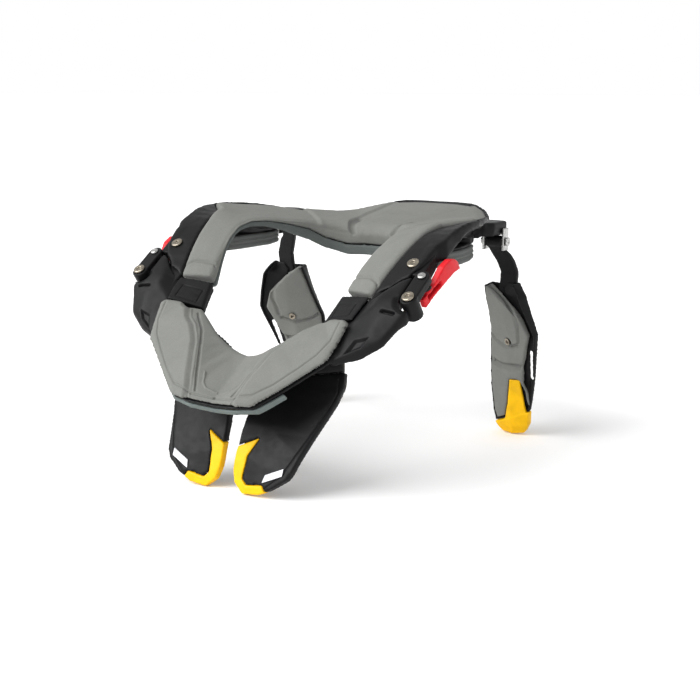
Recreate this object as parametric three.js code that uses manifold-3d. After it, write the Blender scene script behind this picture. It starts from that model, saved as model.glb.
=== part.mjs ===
// Motocross neck brace that stands on its four wing tips.
// A padded ring goes round the neck: a front table on the chest side, two arms over the shoulders
// and a rear table. The front half opens about the hinge over the wearer's left shoulder.
// Millimetres, +Z up, +X the wearer's left, -Y the chest side. The hinge line is y = 0 while building,
// and the last lines move the whole brace so that it stands centred on the origin.

import * as THREE from "three";
import { mergeVertices } from "three/addons/utils/BufferGeometryUtils.js";
import Module from "manifold-3d";

const wasm = await Module();
wasm.setup();

// Overall sizes, from which the tables below take their shares
const HALF_WIDTH = 140; // mid-plane to the outside of a shoulder arm
const REAR_REACH = 290; // hinge line to the rear edge of the rear table
const FRONT_REACH = 75; // hinge line to the front lip
const CREST = 210; // height over the floor of the foam's edge where the ring is highest
const FRONT_RISE = CREST * 0.762; // height of the front half where it meets the arms
const CHEST_DROP = 100; // height of the front wings
const BACK_DROP = 147; // height of the rear wings

// Walls, pads and clearances
const GAP = 0.4; // between pieces that touch
const ARM_PAD = 11; // foam on the arms and the rear table, at its inner edge
const ARM_PAD_OUTER = 6; // the same foam at its outer edge
const FRONT_PAD = 6.5; // foam of the front table
const FRONT_PAD_OUTER = 1.6; // the same foam below its outer edge
const SHELL = 3.2; // wall of the rear shell
const SHELL_SIDE = 9; // height of the rear shell's outer side
const RIM_STEP = 1.5; // from the foam's outer edge down to the shell beside it
const RIM_GAP = 0.7; // between the foam's outer side and the shell beside it
const FRONT_SHELL = 2.4; // wall of the front shell
const FRONT_MARGIN = 2; // how far the front shell shows round its pad
const LINING = 4.5; // height of the soft lining under the inner edge of the arms
const LINING_GROWTH = 8; // how much higher it gets where the foam is thickest
const LINING_DEPTH = 13; // how far the lining reaches under the shell
const TRIM = 5.2; // height of the rubber lip under the front table
const TRIM_DEPTH = 3.2;
const TRIM_FROM = 4; // row of the front pad from which it runs
const SHOULDER_PAD = 12.6; // foam under each arm, on its carrier

// Hinge hardware
const BARREL_RADIUS = 7;
const BARREL_LENGTH = 19;
const LINK_HALF_WIDTH = 6.4;
const LINK_THICKNESS = 7;
const LINK_REACH = 24.5; // barrel to latch pin, along the arm
const CHEEK_REACH = HALF_WIDTH * 0.175; // across, from which the cheek takes its shares
const SCREW_RADIUS = 5.2;
const SCREW_HEAD = 1.8;
const SCREW_SEAT = 1.5; // depth of the seat that holds the upper screw
const PIN_RADIUS = 2.2;
const PIN_HEAD_RADIUS = 3.4;
const PIN_HEAD = 1.3;
const LUG_THICKNESS = 4.4;
const LEVER_SLOT = 4; // height of the slot through a latch lever
const LINK_SEGMENTS = 8; // edges in half a turn of the round ends
const RECESS = 0.42; // share of a screw head's radius that its recess takes

// Rear wing mounts
const PIVOT_RADIUS = 2.4;
const PIVOT_HEAD_RADIUS = 4;
const PIVOT_HEAD = 2;
const CHEEK_WALL = 2;
const CHEEK_WIDTH = 10;
const CHEEK_BELOW = 8; // from the pivot down to the cheek's lower end
const CHEEK_ABOVE = 12; // and up to the outer cheek's upper end
const HUB_RADIUS = 5.2;
const STRUT_WIDTH = 16.5;
const STRUT_THICKNESS = 5;
const BRACKET_ROOM = 6.4; // from the pivot up to the bracket's bridge

// Wings
const WING_DEPTH = 12; // depth of a rear wing's tray where its strut enters
const WING_WALL = 2.4;
const WING_CROWN = 3; // how far the rear wing bulges between its edges
const WING_PAD_RISE = 1.6; // how far the rear wing's foam stands out of its tray
const TONGUE_STEP = 0.8; // from the foam's face down to the cap's tongue
const FRONT_WING_DEPTH = 7;
const FRONT_WING_WALL = 2.6;
const FRONT_WING_PAD = 3; // how far the chest foam stands out of its tray
const STRIPE = 0.5;
const GROMMET_RADIUS = 3.4;
const GROMMET_FLANGE = 0.8;
const GROMMET_DEPTH = 3;
const SLEEVE = 0.75; // share of its radius that goes through the foam

const colours = {
  shell: 0x242526, foam: 0x9a9c96, lining: 0x6b7573, rubber: 0x6e7b78, lever: 0xf0323a,
  nickel: 0xb9b2a4, silver: 0xc9c9c6, cap: 0xffc400, stripe: 0xe8e8ea,
};

function material(colour, roughness, metalness = 0) {
  return new THREE.MeshStandardMaterial({ color: colour, roughness, metalness });
}

const finish = {
  shell: material(colours.shell, 0.45),
  foam: material(colours.foam, 0.85),
  lining: material(colours.lining, 0.8),
  rubber: material(colours.rubber, 0.7),
  lever: material(colours.lever, 0.3),
  nickel: material(colours.nickel, 0.35, 1),
  silver: material(colours.silver, 0.3, 1),
  cap: material(colours.cap, 0.4),
  stripe: material(colours.stripe, 0.5),
};

const vec = (x, y, z) => new THREE.Vector3(x, y, z);

// A point of the ring behind the hinge line, and one in front of it, from shares of the sizes
const rearPoint = (x, y, z) => vec(x * HALF_WIDTH, y * REAR_REACH, z * CREST);
const frontPoint = (x, y, z) => vec(x * HALF_WIDTH, y * FRONT_REACH, z * FRONT_RISE);

// The ring's top from the front end of an arm round to the middle of the rear table:
// pad edge on the neck side (i), pad edge outside (o), and outer edge of the shell (s)
const RING = [
  { i: [0.493, 0.055, 0.762], o: [0.693, 0.031, 0.762], s: [0.8, 0.045, 0.79], drop: 1, side: 0.5 },
  { i: [0.514, 0.11, 0.838], o: [0.729, 0.09, 0.843], s: [0.945, 0.096, 0.862], drop: 1, side: 0.8 },
  { i: [0.543, 0.176, 0.905], o: [0.764, 0.159, 0.919], s: [0.98, 0.162, 0.93], drop: 1, side: 1.5 },
  { i: [0.557, 0.231, 0.943], o: [0.793, 0.228, 0.971], s: [0.985, 0.228, 0.974], drop: 1, side: 1.35 },
  { i: [0.543, 0.29, 0.962], o: [0.829, 0.29, 0.99], s: [1.0, 0.293, 1.004], drop: 1, side: 0.95 },
  { i: [0.5, 0.352, 0.962], o: [0.836, 0.362, 0.995], s: [1.0, 0.369, 1.013], drop: 1.05, side: 0.75 },
  { i: [0.45, 0.421, 0.948], o: [0.8, 0.455, 0.99], s: [0.945, 0.472, 1.01], drop: 1.15, side: 0.65 },
  { i: [0.393, 0.493, 0.938], o: [0.721, 0.552, 0.981], s: [0.829, 0.569, 0.99], drop: 1.25, side: 0.7 },
  { i: [0.314, 0.538, 0.929], o: [0.643, 0.628, 0.962], s: [0.7, 0.641, 0.962], drop: 1.35, side: 0.8 },
  { i: [0.2, 0.566, 0.924], o: [0.557, 0.728, 0.948], s: [0.586, 0.734, 0.943], drop: 1.4, side: 0.8 },
  { i: [0.129, 0.572, 0.924], o: [0.507, 0.869, 0.943], s: [0.529, 0.879, 0.938], drop: 1.4, side: 0.8 },
  { i: [0.071, 0.576, 0.924], o: [0.293, 0.976, 0.981], s: [0.305, 0.99, 0.974], drop: 1.4, side: 0.8 },
  { i: [0, 0.579, 0.924], o: [0, 0.99, 0.986], s: [0, 1.0, 0.979], drop: 1.4, side: 0.8 },
];

// Outline from above of the foam under an arm, and of the block that carries a rear wing
const SHOULDER = [
  [0.68, 0.24], [0.83, 0.24], [0.893, 0.3], [0.893, 0.37], [0.879, 0.41], [0.864, 0.448],
  [0.836, 0.483], [0.807, 0.52], [0.7, 0.53], [0.65, 0.45], [0.66, 0.3],
];
const SHOULDER_TOP = CREST * 0.948;
const SHOULDER_SEAM = CREST * 0.89; // where the carrier and the foam meet
const WING_BLOCK = [
  [0.714, 0.552], [0.83, 0.572], [0.868, 0.593], [0.868, 0.68], [0.757, 0.686], [0.643, 0.655], [0.63, 0.586],
];
const WING_BLOCK_TOP = CREST * 0.967;
const PIVOT = [0.811, 0.655, 0.881];

// The front table's top from its end under an arm to its middle: edge on the neck side (i),
// fold between the side panel and the centre panel (r), outer edge (o)
const SADDLE_ROWS = 3;
const TABLE = [
  { i: [0.475, 0.18, 0.969], r: [0.58, 0.14, 0.98], o: [0.693, 0.093, 0.988] },
  { i: [0.457, 0.05, 0.906], r: [0.57, 0, 0.93], o: [0.686, -0.053, 0.944] },
  { i: [0.439, -0.067, 0.85], r: [0.56, -0.13, 0.875], o: [0.671, -0.187, 0.894] },
  { i: [0.429, -0.107, 0.847], r: [0.52, -0.2, 0.858], o: [0.657, -0.253, 0.869] },
  { i: [0.364, -0.187, 0.819], r: [0.386, -0.36, 0.809], o: [0.643, -0.4, 0.781] },
  { i: [0.314, -0.227, 0.788], r: [0.307, -0.467, 0.756], o: [0.621, -0.533, 0.709] },
  { i: [0.236, -0.293, 0.744], r: [0.257, -0.587, 0.709], o: [0.514, -0.653, 0.638] },
  { i: [0.164, -0.32, 0.713], r: [0.221, -0.707, 0.65], o: [0.4, -0.787, 0.563] },
  { i: [0.114, -0.313, 0.691], r: [0.193, -0.813, 0.594], o: [0.279, -0.933, 0.491] },
  { i: [0.057, -0.32, 0.675], r: [0.15, -0.9, 0.53], o: [0.143, -0.99, 0.484] },
  { i: [0, -0.32, 0.663], r: [0, -0.667, 0.55], o: [0, -0.947, 0.472] },
];

const CHEEK_SWEEP = 1.14; // radius round the barrel that the cheek keeps to, share of the link's reach
const CHEEK_EDGE = 0.16; // its least thickness beside the pad, in the same shares

// Cheek of the front shell beside the pad, round the barrel, in the hinge's own frame: edge beside
// the pad (i), crest (c) and outer edge (o) outward from the barrel and up, underside (b), along the
// arm (s). Shares of the link's reach, and outward of the cheek's
const CHEEK = [
  { s: 1.04, i: [-0.41, -0.05], c: [-0.37, -0.04], o: [-0.335, -0.04], b: -0.51 },
  { s: 0.82, i: [-0.73, -0.06], c: [-0.53, -0.04], o: [-0.335, -0.04], b: -0.51 },
  { s: 0.49, i: [-0.98, -0.1], c: [-0.73, -0.04], o: [-0.335, -0.04], b: -0.51 },
  { s: 0.27, i: [-1.36, -0.33], c: [-1.02, -0.06], o: [-0.335, -0.04], b: -0.53 },
  { s: 0, i: [-1.6, -0.36], c: [-1.1, -0.06], o: [-0.335, -0.05], b: -0.65 },
  { s: -0.33, i: [-1.64, -0.38], c: [-1.06, -0.1], o: [0.18, -0.13], b: -0.73 },
  { s: -0.86, i: [-1.72, -0.4], c: [-0.82, -0.22], o: [-0.08, -0.37], b: -0.66 },
  { s: -1.5, i: [-1.84, -0.54], c: [-0.9, -0.45], o: [-0.39, -0.57], b: -0.85 },
  { s: -2.0, i: [-1.92, -0.72], c: [-1.39, -0.66], o: [-1.06, -0.8], b: -1.05 },
  { s: -2.38, i: [-2.01, -0.86], c: [-1.96, -0.84], o: [-1.91, -0.87], b: -1.03 },
];

// Latch lever in the hinge's own frame, same shares: inner and outer face, top and bottom
const LEVER = [
  { s: 0.53, inner: -0.08, outer: 0.12, top: -0.56, bottom: -0.92 },
  { s: 0.98, inner: -0.08, outer: 0.17, top: -0.56, bottom: -0.88 },
  { s: 1.36, inner: 0.02, outer: 0.26, top: -0.43, bottom: -0.84 },
  { s: 1.84, inner: 0.09, outer: 0.33, top: -0.27, bottom: -0.84 },
  { s: 2.25, inner: 0.12, outer: 0.36, top: -0.33, bottom: -0.88 },
  { s: 2.5, inner: 0.12, outer: 0.36, top: -0.52, bottom: -0.98 },
  { s: 2.66, inner: 0.11, outer: 0.32, top: -0.76, bottom: -1.06 },
];
const LEVER_CUT = { s: 1.14, h: -0.68, length: 0.75, tilt: 0.05 }; // its slot, in the same shares

// Lug of the rear shell under the link, same shares: outline behind the pin, and its web
const LUG = [[-0.08, 1.22], [-0.08, 1.8], [-0.8, 1.8], [-0.26, 1.3]];
const LUG_WEB = [[-0.08, 1.6], [-0.08, 1.8], [-0.8, 1.8], [-0.65, 1.6]];

// Front wing from its tip up: inner (a) and outer (b) edge, shares of half width and wing height,
// and how far the outer edge leans back
const CHEST_WING = [
  { a: [0.135, 0.003], b: [0.25, 0.02], lean: -0.01 },
  { a: [0.07, 0.08], b: [0.335, 0.085], lean: -0.03 },
  { a: [0.05, 0.17], b: [0.43, 0.175], lean: -0.01 },
  { a: [0.045, 0.24], b: [0.455, 0.24], lean: 0 },
  { a: [0.05, 0.33], b: [0.475, 0.34], lean: 0.04 },
  { a: [0.057, 0.49], b: [0.514, 0.49], lean: 0.1 },
  { a: [0.064, 0.57], b: [0.535, 0.56], lean: 0.12 },
  { a: [0.079, 0.74], b: [0.59, 0.75], lean: 0.16 },
  { a: [0.093, 0.82], b: [0.612, 0.88], lean: 0.15 },
  { a: [0.13, 0.88], b: [0.6, 0.985], lean: 0.12 },
];
const CHEST_FORWARD = 0.79; // how far forward its tip stands, share of the front's reach
const CHEST_LEAN = 0.22; // how far it leans back with height, more so higher up

// Outlines on a front wing, seen from the front: the cap round its tip and the stripe beside it
const CHEST_CAP = [
  [0.02, 0.34], [0.06, 0.36], [0.185, 0.44], [0.13, 0.3], [0.124, 0.19], [0.12, 0.12], [0.155, 0.075],
  [0.27, 0.1], [0.32, 0], [0.3, -0.1], [0, -0.1],
];
const CHEST_STRIPE = [[0.275, 0.125], [0.4, 0.2], [0.4, 0.255], [0.285, 0.185]];

// Rear wing from its tip up: inner (a) and outer (b) edge, shares of half width, rear reach, height;
// depth of the tray (d), and where its foam ends towards the outer edge (p)
const BACK_WING = [
  { a: [0.755, 0.799, 0.003], b: [0.915, 0.794, 0.012], d: 0.55, p: 0.9 },
  { a: [0.722, 0.796, 0.03], b: [0.95, 0.785, 0.07], d: 0.52, p: 0.9 },
  { a: [0.7, 0.79, 0.065], b: [0.963, 0.775, 0.16], d: 0.45, p: 0.9 },
  { a: [0.684, 0.786, 0.14], b: [0.98, 0.766, 0.225], d: 0.43, p: 0.88 },
  { a: [0.664, 0.783, 0.306], b: [1.012, 0.742, 0.34], d: 0.43, p: 0.8 },
  { a: [0.664, 0.776, 0.476], b: [1.044, 0.713, 0.476], d: 0.43, p: 0.79 },
  { a: [0.671, 0.766, 0.633], b: [1.081, 0.674, 0.633], d: 0.45, p: 0.86 },
  { a: [0.686, 0.752, 0.687], b: [1.093, 0.664, 0.687], d: 0.5, p: 0.88 },
  { a: [0.7, 0.721, 0.796], b: [1.055, 0.646, 0.796], d: 0.65, p: 0.82 },
  { a: [0.707, 0.69, 0.905], b: [1.008, 0.631, 0.925], d: 0.85, p: 0.5 },
  { a: [0.718, 0.669, 0.98], b: [0.951, 0.642, 1.0], d: 1, p: 0.14 },
];
const CAP_ROWS = 2; // rows of the rear wing that its cap takes
const TONGUE_ROWS = 3; // rows above them that the tongue runs along
const BACK_TONGUE = [
  [0.84, 0.37], [0.92, 0.373], [0.93, 0.26], [0.94, 0.12], [0.94, -0.1], [0.77, -0.1], [0.77, 0.05],
  [0.81, 0.2],
];
const BACK_SLOT = [[0.995, 0.385], [1.02, 0.385], [1.05, 0.585], [1.022, 0.585]];
const GROMMET_ROW = 6;

// Strut of a rear wing from its hub down, shares of half width, rear reach and crest, and of its width
const STRUT = [
  [0.811, 0.655, 0.881, 0.84], [0.814, 0.66, 0.855, 0.84], [0.823, 0.668, 0.838, 0.86],
  [0.842, 0.674, 0.82, 1], [0.862, 0.682, 0.793, 1], [0.885, 0.6875, 0.748, 1], [0.878, 0.6885, 0.7, 1],
  [0.868, 0.691, 0.66, 1], [0.866, 0.7, 0.6, 1],
];

// Closed body through rows of points, each row one ring in the same order; both ends are capped
function loft(rings) {
  const count = rings[0].length;
  const points = rings.flat();
  const triangles = [];
  for (let k = 0; k + 1 < rings.length; k++)
    for (let j = 0; j < count; j++) {
      const a = k * count + j;
      const b = k * count + ((j + 1) % count);
      const [c, d] = [b + count, a + count];
      const across = points[a].distanceTo(points[c]) < points[b].distanceTo(points[d]);
      triangles.push(...(across ? [a, b, c, a, c, d] : [a, b, d, b, c, d]));
    }
  for (const [ring, offset, flip] of [[rings[0], 0, true], [rings.at(-1), points.length - count, false]])
    for (const [a, b, c] of capOf(ring))
      triangles.push(...(flip ? [a, c, b] : [a, b, c]).map((n) => n + offset));
  const geometry = new THREE.BufferGeometry();
  geometry.setAttribute("position", new THREE.Float32BufferAttribute(points.flatMap((p) => p.toArray()), 3));
  geometry.setIndex(triangles);
  if (volumeOf(geometry) < 0) turnFaces(geometry);
  return geometry;
}

// Triangles that close a ring, found in the plane that the ring lies closest to
function capOf(ring) {
  const normal = vec(0, 0, 0);
  ring.forEach((p, k) => normal.add(p.clone().cross(ring[(k + 1) % ring.length])));
  normal.normalize();
  const across = ring[0].clone().sub(ring[Math.floor(ring.length / 2)]).normalize();
  const up = normal.clone().cross(across).normalize();
  const flat = ring.map((p) => new THREE.Vector2(p.dot(across), p.dot(up)));
  return THREE.ShapeUtils.triangulateShape(flat, []);
}

function volumeOf(geometry) {
  const at = geometry.attributes.position;
  const index = geometry.index.array;
  let sum = 0;
  for (let k = 0; k < index.length; k += 3) {
    const [a, b, c] = [0, 1, 2].map((n) => new THREE.Vector3().fromBufferAttribute(at, index[k + n]));
    sum += a.dot(b.cross(c));
  }
  return sum;
}

function turnFaces(geometry) {
  const index = geometry.index.array;
  for (let k = 0; k < index.length; k += 3) [index[k + 1], index[k + 2]] = [index[k + 2], index[k + 1]];
}

// The same body on the other side of the mid-plane
function mirrored(geometry) {
  const copy = geometry.index ? geometry.clone() : mergeVertices(geometry);
  copy.applyMatrix4(new THREE.Matrix4().makeScale(-1, 1, 1));
  turnFaces(copy);
  return copy;
}

function solidOf(geometry) {
  const bare = geometry.clone();
  bare.deleteAttribute("normal");
  bare.deleteAttribute("uv");
  const merged = mergeVertices(bare);
  const mesh = { numProp: 3, vertProperties: merged.attributes.position.array };
  return new wasm.Manifold(new wasm.Mesh({ ...mesh, triVerts: new Uint32Array(merged.index.array) }));
}

function geometryOf(solid) {
  const mesh = solid.getMesh();
  const geometry = new THREE.BufferGeometry();
  geometry.setAttribute("position", new THREE.BufferAttribute(mesh.vertProperties, 3));
  geometry.setIndex(new THREE.BufferAttribute(mesh.triVerts, 1));
  return geometry;
}

const joined = (...parts) => geometryOf(parts.map(solidOf).reduce((all, part) => all.add(part)));
const cut = (body, ...tools) =>
  geometryOf(tools.map(solidOf).reduce((rest, tool) => rest.subtract(tool), solidOf(body)));
const shared = (body, tool) => geometryOf(solidOf(body).intersect(solidOf(tool)));

// Half of a symmetric band of rings, completed by its mirror image; the last ring is the middle one
function wholeBand(rings) {
  const other = rings.slice(0, -1).map((ring) => ring.map((p) => vec(-p.x, p.y, p.z)));
  return loft([...rings, ...other.reverse()]);
}

// Rows between the table's rows, on smooth curves through them
function refined(rows, keys, steps) {
  const curves = keys.map((key) => new THREE.CatmullRomCurve3(rows.map((row) => row[key])));
  const count = (rows.length - 1) * steps;
  return Array.from({ length: count + 1 }, (_, k) => {
    const row = {};
    keys.forEach((key, n) => (row[key] = curves[n].getPoint(k / count)));
    return row;
  });
}

// Directions of a row: across it from a to b, and up from it, given the rows beside it
function directions(rows, k, a, b) {
  const before = rows[Math.max(k - 1, 0)];
  const after = rows[Math.min(k + 1, rows.length - 1)];
  const along = after[a].clone().add(after[b]).sub(before[a]).sub(before[b]).normalize();
  const across = rows[k][b].clone().sub(rows[k][a]).normalize();
  const up = along.cross(across).normalize();
  if (up.z < 0) up.negate();
  return { across, up };
}

const moved = (point, ...steps) =>
  steps.reduce((p, [direction, length]) => p.addScaledVector(direction, length), point.clone());

// Rear half of the ring
const ringRows = refined(
  RING.map((row) => ({
    i: rearPoint(...row.i), o: rearPoint(...row.o), s: rearPoint(...row.s), d: vec(row.drop, row.side, 0),
  })),
  ["i", "o", "s", "d"], 2,
).map((row, k, all) => {
  return { ...row, ...directions(all, k, "i", "o"), drop: ARM_PAD * row.d.x, side: SHELL_SIDE * row.d.y };
});

// Section of the foam on the ring: rounded at both edges, crowned between them
const PAD_EDGE = 0.09;
const PAD_FOOT = 0.9; // share of its thickness where its neck side starts to round off below
const RING_TOP = [[0, -0.45], [PAD_EDGE / 3, -0.14], [PAD_EDGE, 0], [0.5, 0.1], [1 - PAD_EDGE, 0], [1, -0.3]];
function ringPadRing({ i, o, across, up, drop }) {
  const width = o.clone().sub(i);
  const top = RING_TOP.map(([share, lift]) =>
    moved(i, [width, share], [up, lift * (share < 0.5 ? drop : ARM_PAD_OUTER)]));
  return [
    ...top, moved(o, [up, -ARM_PAD_OUTER]), moved(i, [across, SHELL], [up, -drop]),
    moved(i, [width, PAD_EDGE / 3], [up, -drop * PAD_FOOT]),
  ];
}

// Section of the rear shell: a plate under the foam and a rim outside it, which is hollow where it is
// wider than RIM_WALLS walls; a narrow rim takes RIM_SHARE of its width for each of its sides
const RIM_WALLS = 2.5;
const RIM_SHARE = 0.45;
function shellRing({ i, o, s, across, up, drop, side }) {
  const width = s.distanceTo(o);
  const open = Math.min(1, Math.max(0, width / (SHELL * RIM_WALLS) - 1));
  const near = Math.min(RIM_GAP + SHELL, width * RIM_SHARE);
  const far = -Math.min(SHELL, width * RIM_SHARE);
  const seat = -ARM_PAD_OUTER - GAP;
  const roof = (1 - open) * side + open * SHELL;
  return [
    moved(i, [across, SHELL], [up, -drop - GAP]),
    moved(o, [up, seat]), moved(o, [across, RIM_GAP], [up, seat]),
    moved(o, [across, RIM_GAP], [up, -RIM_STEP]), s.clone(), moved(s, [up, -side]),
    moved(s, [across, far], [up, -side]), moved(s, [across, far], [up, -roof]),
    moved(o, [across, near], [up, -RIM_STEP - roof]), moved(o, [across, near], [up, seat - SHELL]),
    moved(i, [across, SHELL], [up, -drop - GAP - SHELL]),
  ];
}

// Section of the soft lining under the neck side of the ring, shares of its depth and height; a lip
// of it rises in front of the shell's edge to the foam
const LINING_SECTION = [[0.05, 0], [0.12, 1], [0.6, 1], [1, 0]];
function liningRing({ i, across, up, drop }) {
  const depth = drop + GAP * 2 + SHELL;
  const high = LINING + (drop / ARM_PAD - 1) * LINING_GROWTH;
  const below = LINING_SECTION.slice(1).map(([inward, down]) =>
    moved(i, [across, LINING_DEPTH * inward], [up, -depth - high * down]));
  const [near, far] = [LINING_DEPTH * LINING_SECTION[0][0], SHELL - GAP];
  return [
    moved(i, [across, near], [up, -drop - GAP]), ...below, moved(i, [across, far], [up, -depth]),
    moved(i, [across, far], [up, -drop - GAP]),
  ];
}

// Room over a shell that its foam and saddles need; whatever is added to the shell stays out of it
const ROOM = 30;
const overRing = ({ i, o, across, up, drop }) => [
  moved(i, [across, -ROOM], [up, -drop - GAP]), moved(i, [across, SHELL], [up, -drop - GAP]),
  moved(o, [across, RIM_GAP], [up, -ARM_PAD_OUTER - GAP]), moved(o, [across, RIM_GAP], [up, ROOM]),
  moved(i, [across, -ROOM], [up, ROOM]),
];

// Solid between two heights with an outline given in shares, seen from above
function slabAbove(outline, low, high) {
  const shape = new THREE.Shape(outline.map(([x, y]) => new THREE.Vector2(x * HALF_WIDTH, y * REAR_REACH)));
  return plate(shape, high - low).translate(0, 0, low);
}

// Front half of the ring
const tableRows = TABLE.map((row) => ({
  i: frontPoint(...row.i), r: frontPoint(...row.r), o: frontPoint(...row.o),
})).map((row, k, all) => ({ ...row, ...directions(all, k, "i", "o") }));
const saddleRows = tableRows.slice(0, SADDLE_ROWS);
const padRows = tableRows.slice(SADDLE_ROWS);

const TABLE_EDGE = 0.08; // share of a panel that its rounded edge takes
const NECK_EDGE = 0.4; // share of the foam's thickness that its neck side rounds off
function tablePadRing({ i, r, o, up }) {
  return [
    moved(i, [up, -FRONT_PAD * NECK_EDGE]), i.clone().lerp(r, TABLE_EDGE), r.clone(), o.clone().lerp(r, TABLE_EDGE),
    moved(o, [up, -FRONT_PAD_OUTER / 2]), moved(o, [up, -FRONT_PAD_OUTER]), moved(r, [up, -FRONT_PAD]),
    moved(i, [up, -FRONT_PAD]),
  ];
}

function tableShellRing({ i, r, o, across, up }) {
  const points = [[i, 0, -FRONT_PAD], [r, 0, -FRONT_PAD], [o, FRONT_MARGIN, -FRONT_PAD_OUTER]];
  const top = points.map(([p, out, h]) => moved(p, [across, out], [up, h - GAP]));
  return [...top, ...top.map((p) => moved(p, [up, -FRONT_SHELL])).reverse()];
}

const overTableRing = ({ i, r, o, across, up }) => [
  moved(i, [across, -ROOM], [up, -FRONT_PAD - GAP]), moved(i, [up, -FRONT_PAD - GAP]),
  moved(r, [up, -FRONT_PAD - GAP]), moved(o, [across, FRONT_MARGIN], [up, -FRONT_PAD_OUTER - GAP]),
  moved(o, [across, FRONT_MARGIN], [up, ROOM]), moved(i, [across, -ROOM], [up, ROOM]),
];

// Everything from just under the front shell upwards
const aboveTableRing = ({ i, r, o, across, up }) => {
  const under = -GAP * 2 - FRONT_SHELL;
  return [
    moved(i, [across, -ROOM], [up, -FRONT_PAD + under]), moved(i, [up, -FRONT_PAD + under]),
    moved(r, [up, -FRONT_PAD + under]), moved(o, [across, FRONT_MARGIN], [up, -FRONT_PAD_OUTER + under]),
    moved(o, [across, ROOM], [up, -FRONT_PAD_OUTER + under]), moved(o, [across, ROOM], [up, ROOM]),
    moved(i, [across, -ROOM], [up, ROOM]),
  ];
};

function trimRing({ r, o, across, up }) {
  const under = -GAP * 3 - FRONT_SHELL;
  const face = moved(o, [across, FRONT_MARGIN], [up, under - FRONT_PAD_OUTER]);
  const inward = moved(r, [up, under - FRONT_PAD]).sub(face).normalize();
  const back = moved(face, [inward, TRIM_DEPTH], [up, -GAP]);
  return [face, moved(face, [up, -TRIM]), moved(back, [up, -TRIM]), back];
}

// The hinge's own frame: Y along the arm, Z up the barrel
const lowerScrew = rearPoint(0.979, 0, 0.771);
const upperScrew = rearPoint(0.87, 0.112, 0.876);
const hingeTilt = Math.atan2(upperScrew.z - lowerScrew.z, upperScrew.y - lowerScrew.y);
const hingeFrame = new THREE.Matrix4().makeRotationX(hingeTilt).setPosition(lowerScrew);
const inHinge = (geometry) => geometry.applyMatrix4(hingeFrame);
const hingeShare = (u, s, h) => vec(u, s, h).multiplyScalar(LINK_REACH);
const upperAt = upperScrew.clone().applyMatrix4(hingeFrame.clone().invert());

// An upright cylinder of the hinge frame, from its top down
function post(radius, top, length, u = 0, s = 0, sides = 20) {
  const geometry = new THREE.CylinderGeometry(radius, radius, length, sides);
  geometry.rotateX(Math.PI / 2);
  geometry.translate(u, s, top - length / 2);
  return geometry;
}

function cheekOfFrontShell() {
  const at = (u, s, h) => vec(u * CHEEK_REACH, s * LINK_REACH, h * LINK_REACH);
  const rings = CHEEK.map(({ s, i, c, o, b }) => [
    at(i[0], s, i[1]), at(c[0], s, c[1]), at(o[0], s, o[1]), at(o[0], s, b),
    at(i[0], s, Math.min(b, i[1] - CHEEK_EDGE)),
  ]);
  return inHinge(loft(rings));
}

// Solid of an even thickness with this outline
function plate(shape, depth, curveSegments = LINK_SEGMENTS) {
  return new THREE.ExtrudeGeometry(shape, { depth, bevelEnabled: false, curveSegments });
}

// Flat bar with round ends, seen from above the hinge, with a hole at the latch pin
function linkBar() {
  const shape = new THREE.Shape();
  shape.absarc(0, 0, LINK_HALF_WIDTH, Math.PI, 2 * Math.PI);
  shape.absarc(0, LINK_REACH, LINK_HALF_WIDTH, 0, Math.PI);
  const hole = new THREE.Path();
  hole.absarc(0, LINK_REACH, PIN_RADIUS + GAP / 2, 0, 2 * Math.PI);
  shape.holes.push(hole);
  const bar = plate(shape, LINK_THICKNESS);
  return bar.translate(0, 0, -LINK_THICKNESS);
}

const lugTop = -LINK_THICKNESS - GAP;
const lugBottom = lugTop - LUG_THICKNESS;

// Lug of the rear shell that carries the link and the lever, round the latch pin
function shellLug() {
  const shape = new THREE.Shape();
  shape.moveTo(-LINK_HALF_WIDTH, LINK_REACH);
  shape.absarc(0, LINK_REACH, LINK_HALF_WIDTH, Math.PI, 2 * Math.PI);
  for (const [u, s] of LUG) shape.lineTo(u * LINK_REACH, s * LINK_REACH);
  const lug = plate(shape, LUG_THICKNESS).translate(0, 0, lugBottom);
  const web = new THREE.Shape(LUG_WEB.map(([u, s]) => new THREE.Vector2(u * LINK_REACH, s * LINK_REACH)));
  const wall = plate(web, -lugBottom - RIM_STEP).translate(0, 0, lugBottom);
  return inHinge(cut(joined(lug, wall), post(PIN_RADIUS + GAP / 2, 0, LINK_REACH, 0, LINK_REACH)));
}

function latchLever() {
  const rings = LEVER.map(({ s, inner, outer, top, bottom }) => [
    hingeShare(inner, s, top), hingeShare(outer, s, top), hingeShare(outer, s, bottom),
    hingeShare(inner, s, bottom),
  ]);
  const slot = new THREE.BoxGeometry(LINK_REACH, LINK_REACH * LEVER_CUT.length, LEVER_SLOT);
  slot.rotateX(LEVER_CUT.tilt);
  slot.translate(0, LINK_REACH * LEVER_CUT.s, LINK_REACH * LEVER_CUT.h);
  const hub = post(LINK_HALF_WIDTH - PIN_HEAD, lugBottom - GAP, LUG_THICKNESS - PIN_HEAD, 0, LINK_REACH);
  const bore = post(PIN_RADIUS + GAP / 2, 0, LINK_THICKNESS + LUG_THICKNESS * 2 + GAP * 2, 0, LINK_REACH);
  return inHinge(cut(joined(loft(rings), hub), slot, bore));
}

function latchPin() {
  const length = LINK_THICKNESS + LUG_THICKNESS * 2;
  const shank = post(PIN_RADIUS, GAP, length, 0, LINK_REACH, 12);
  const head = post(PIN_HEAD_RADIUS, GAP + PIN_HEAD, PIN_HEAD, 0, LINK_REACH);
  return inHinge(joined(shank, head));
}

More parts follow.
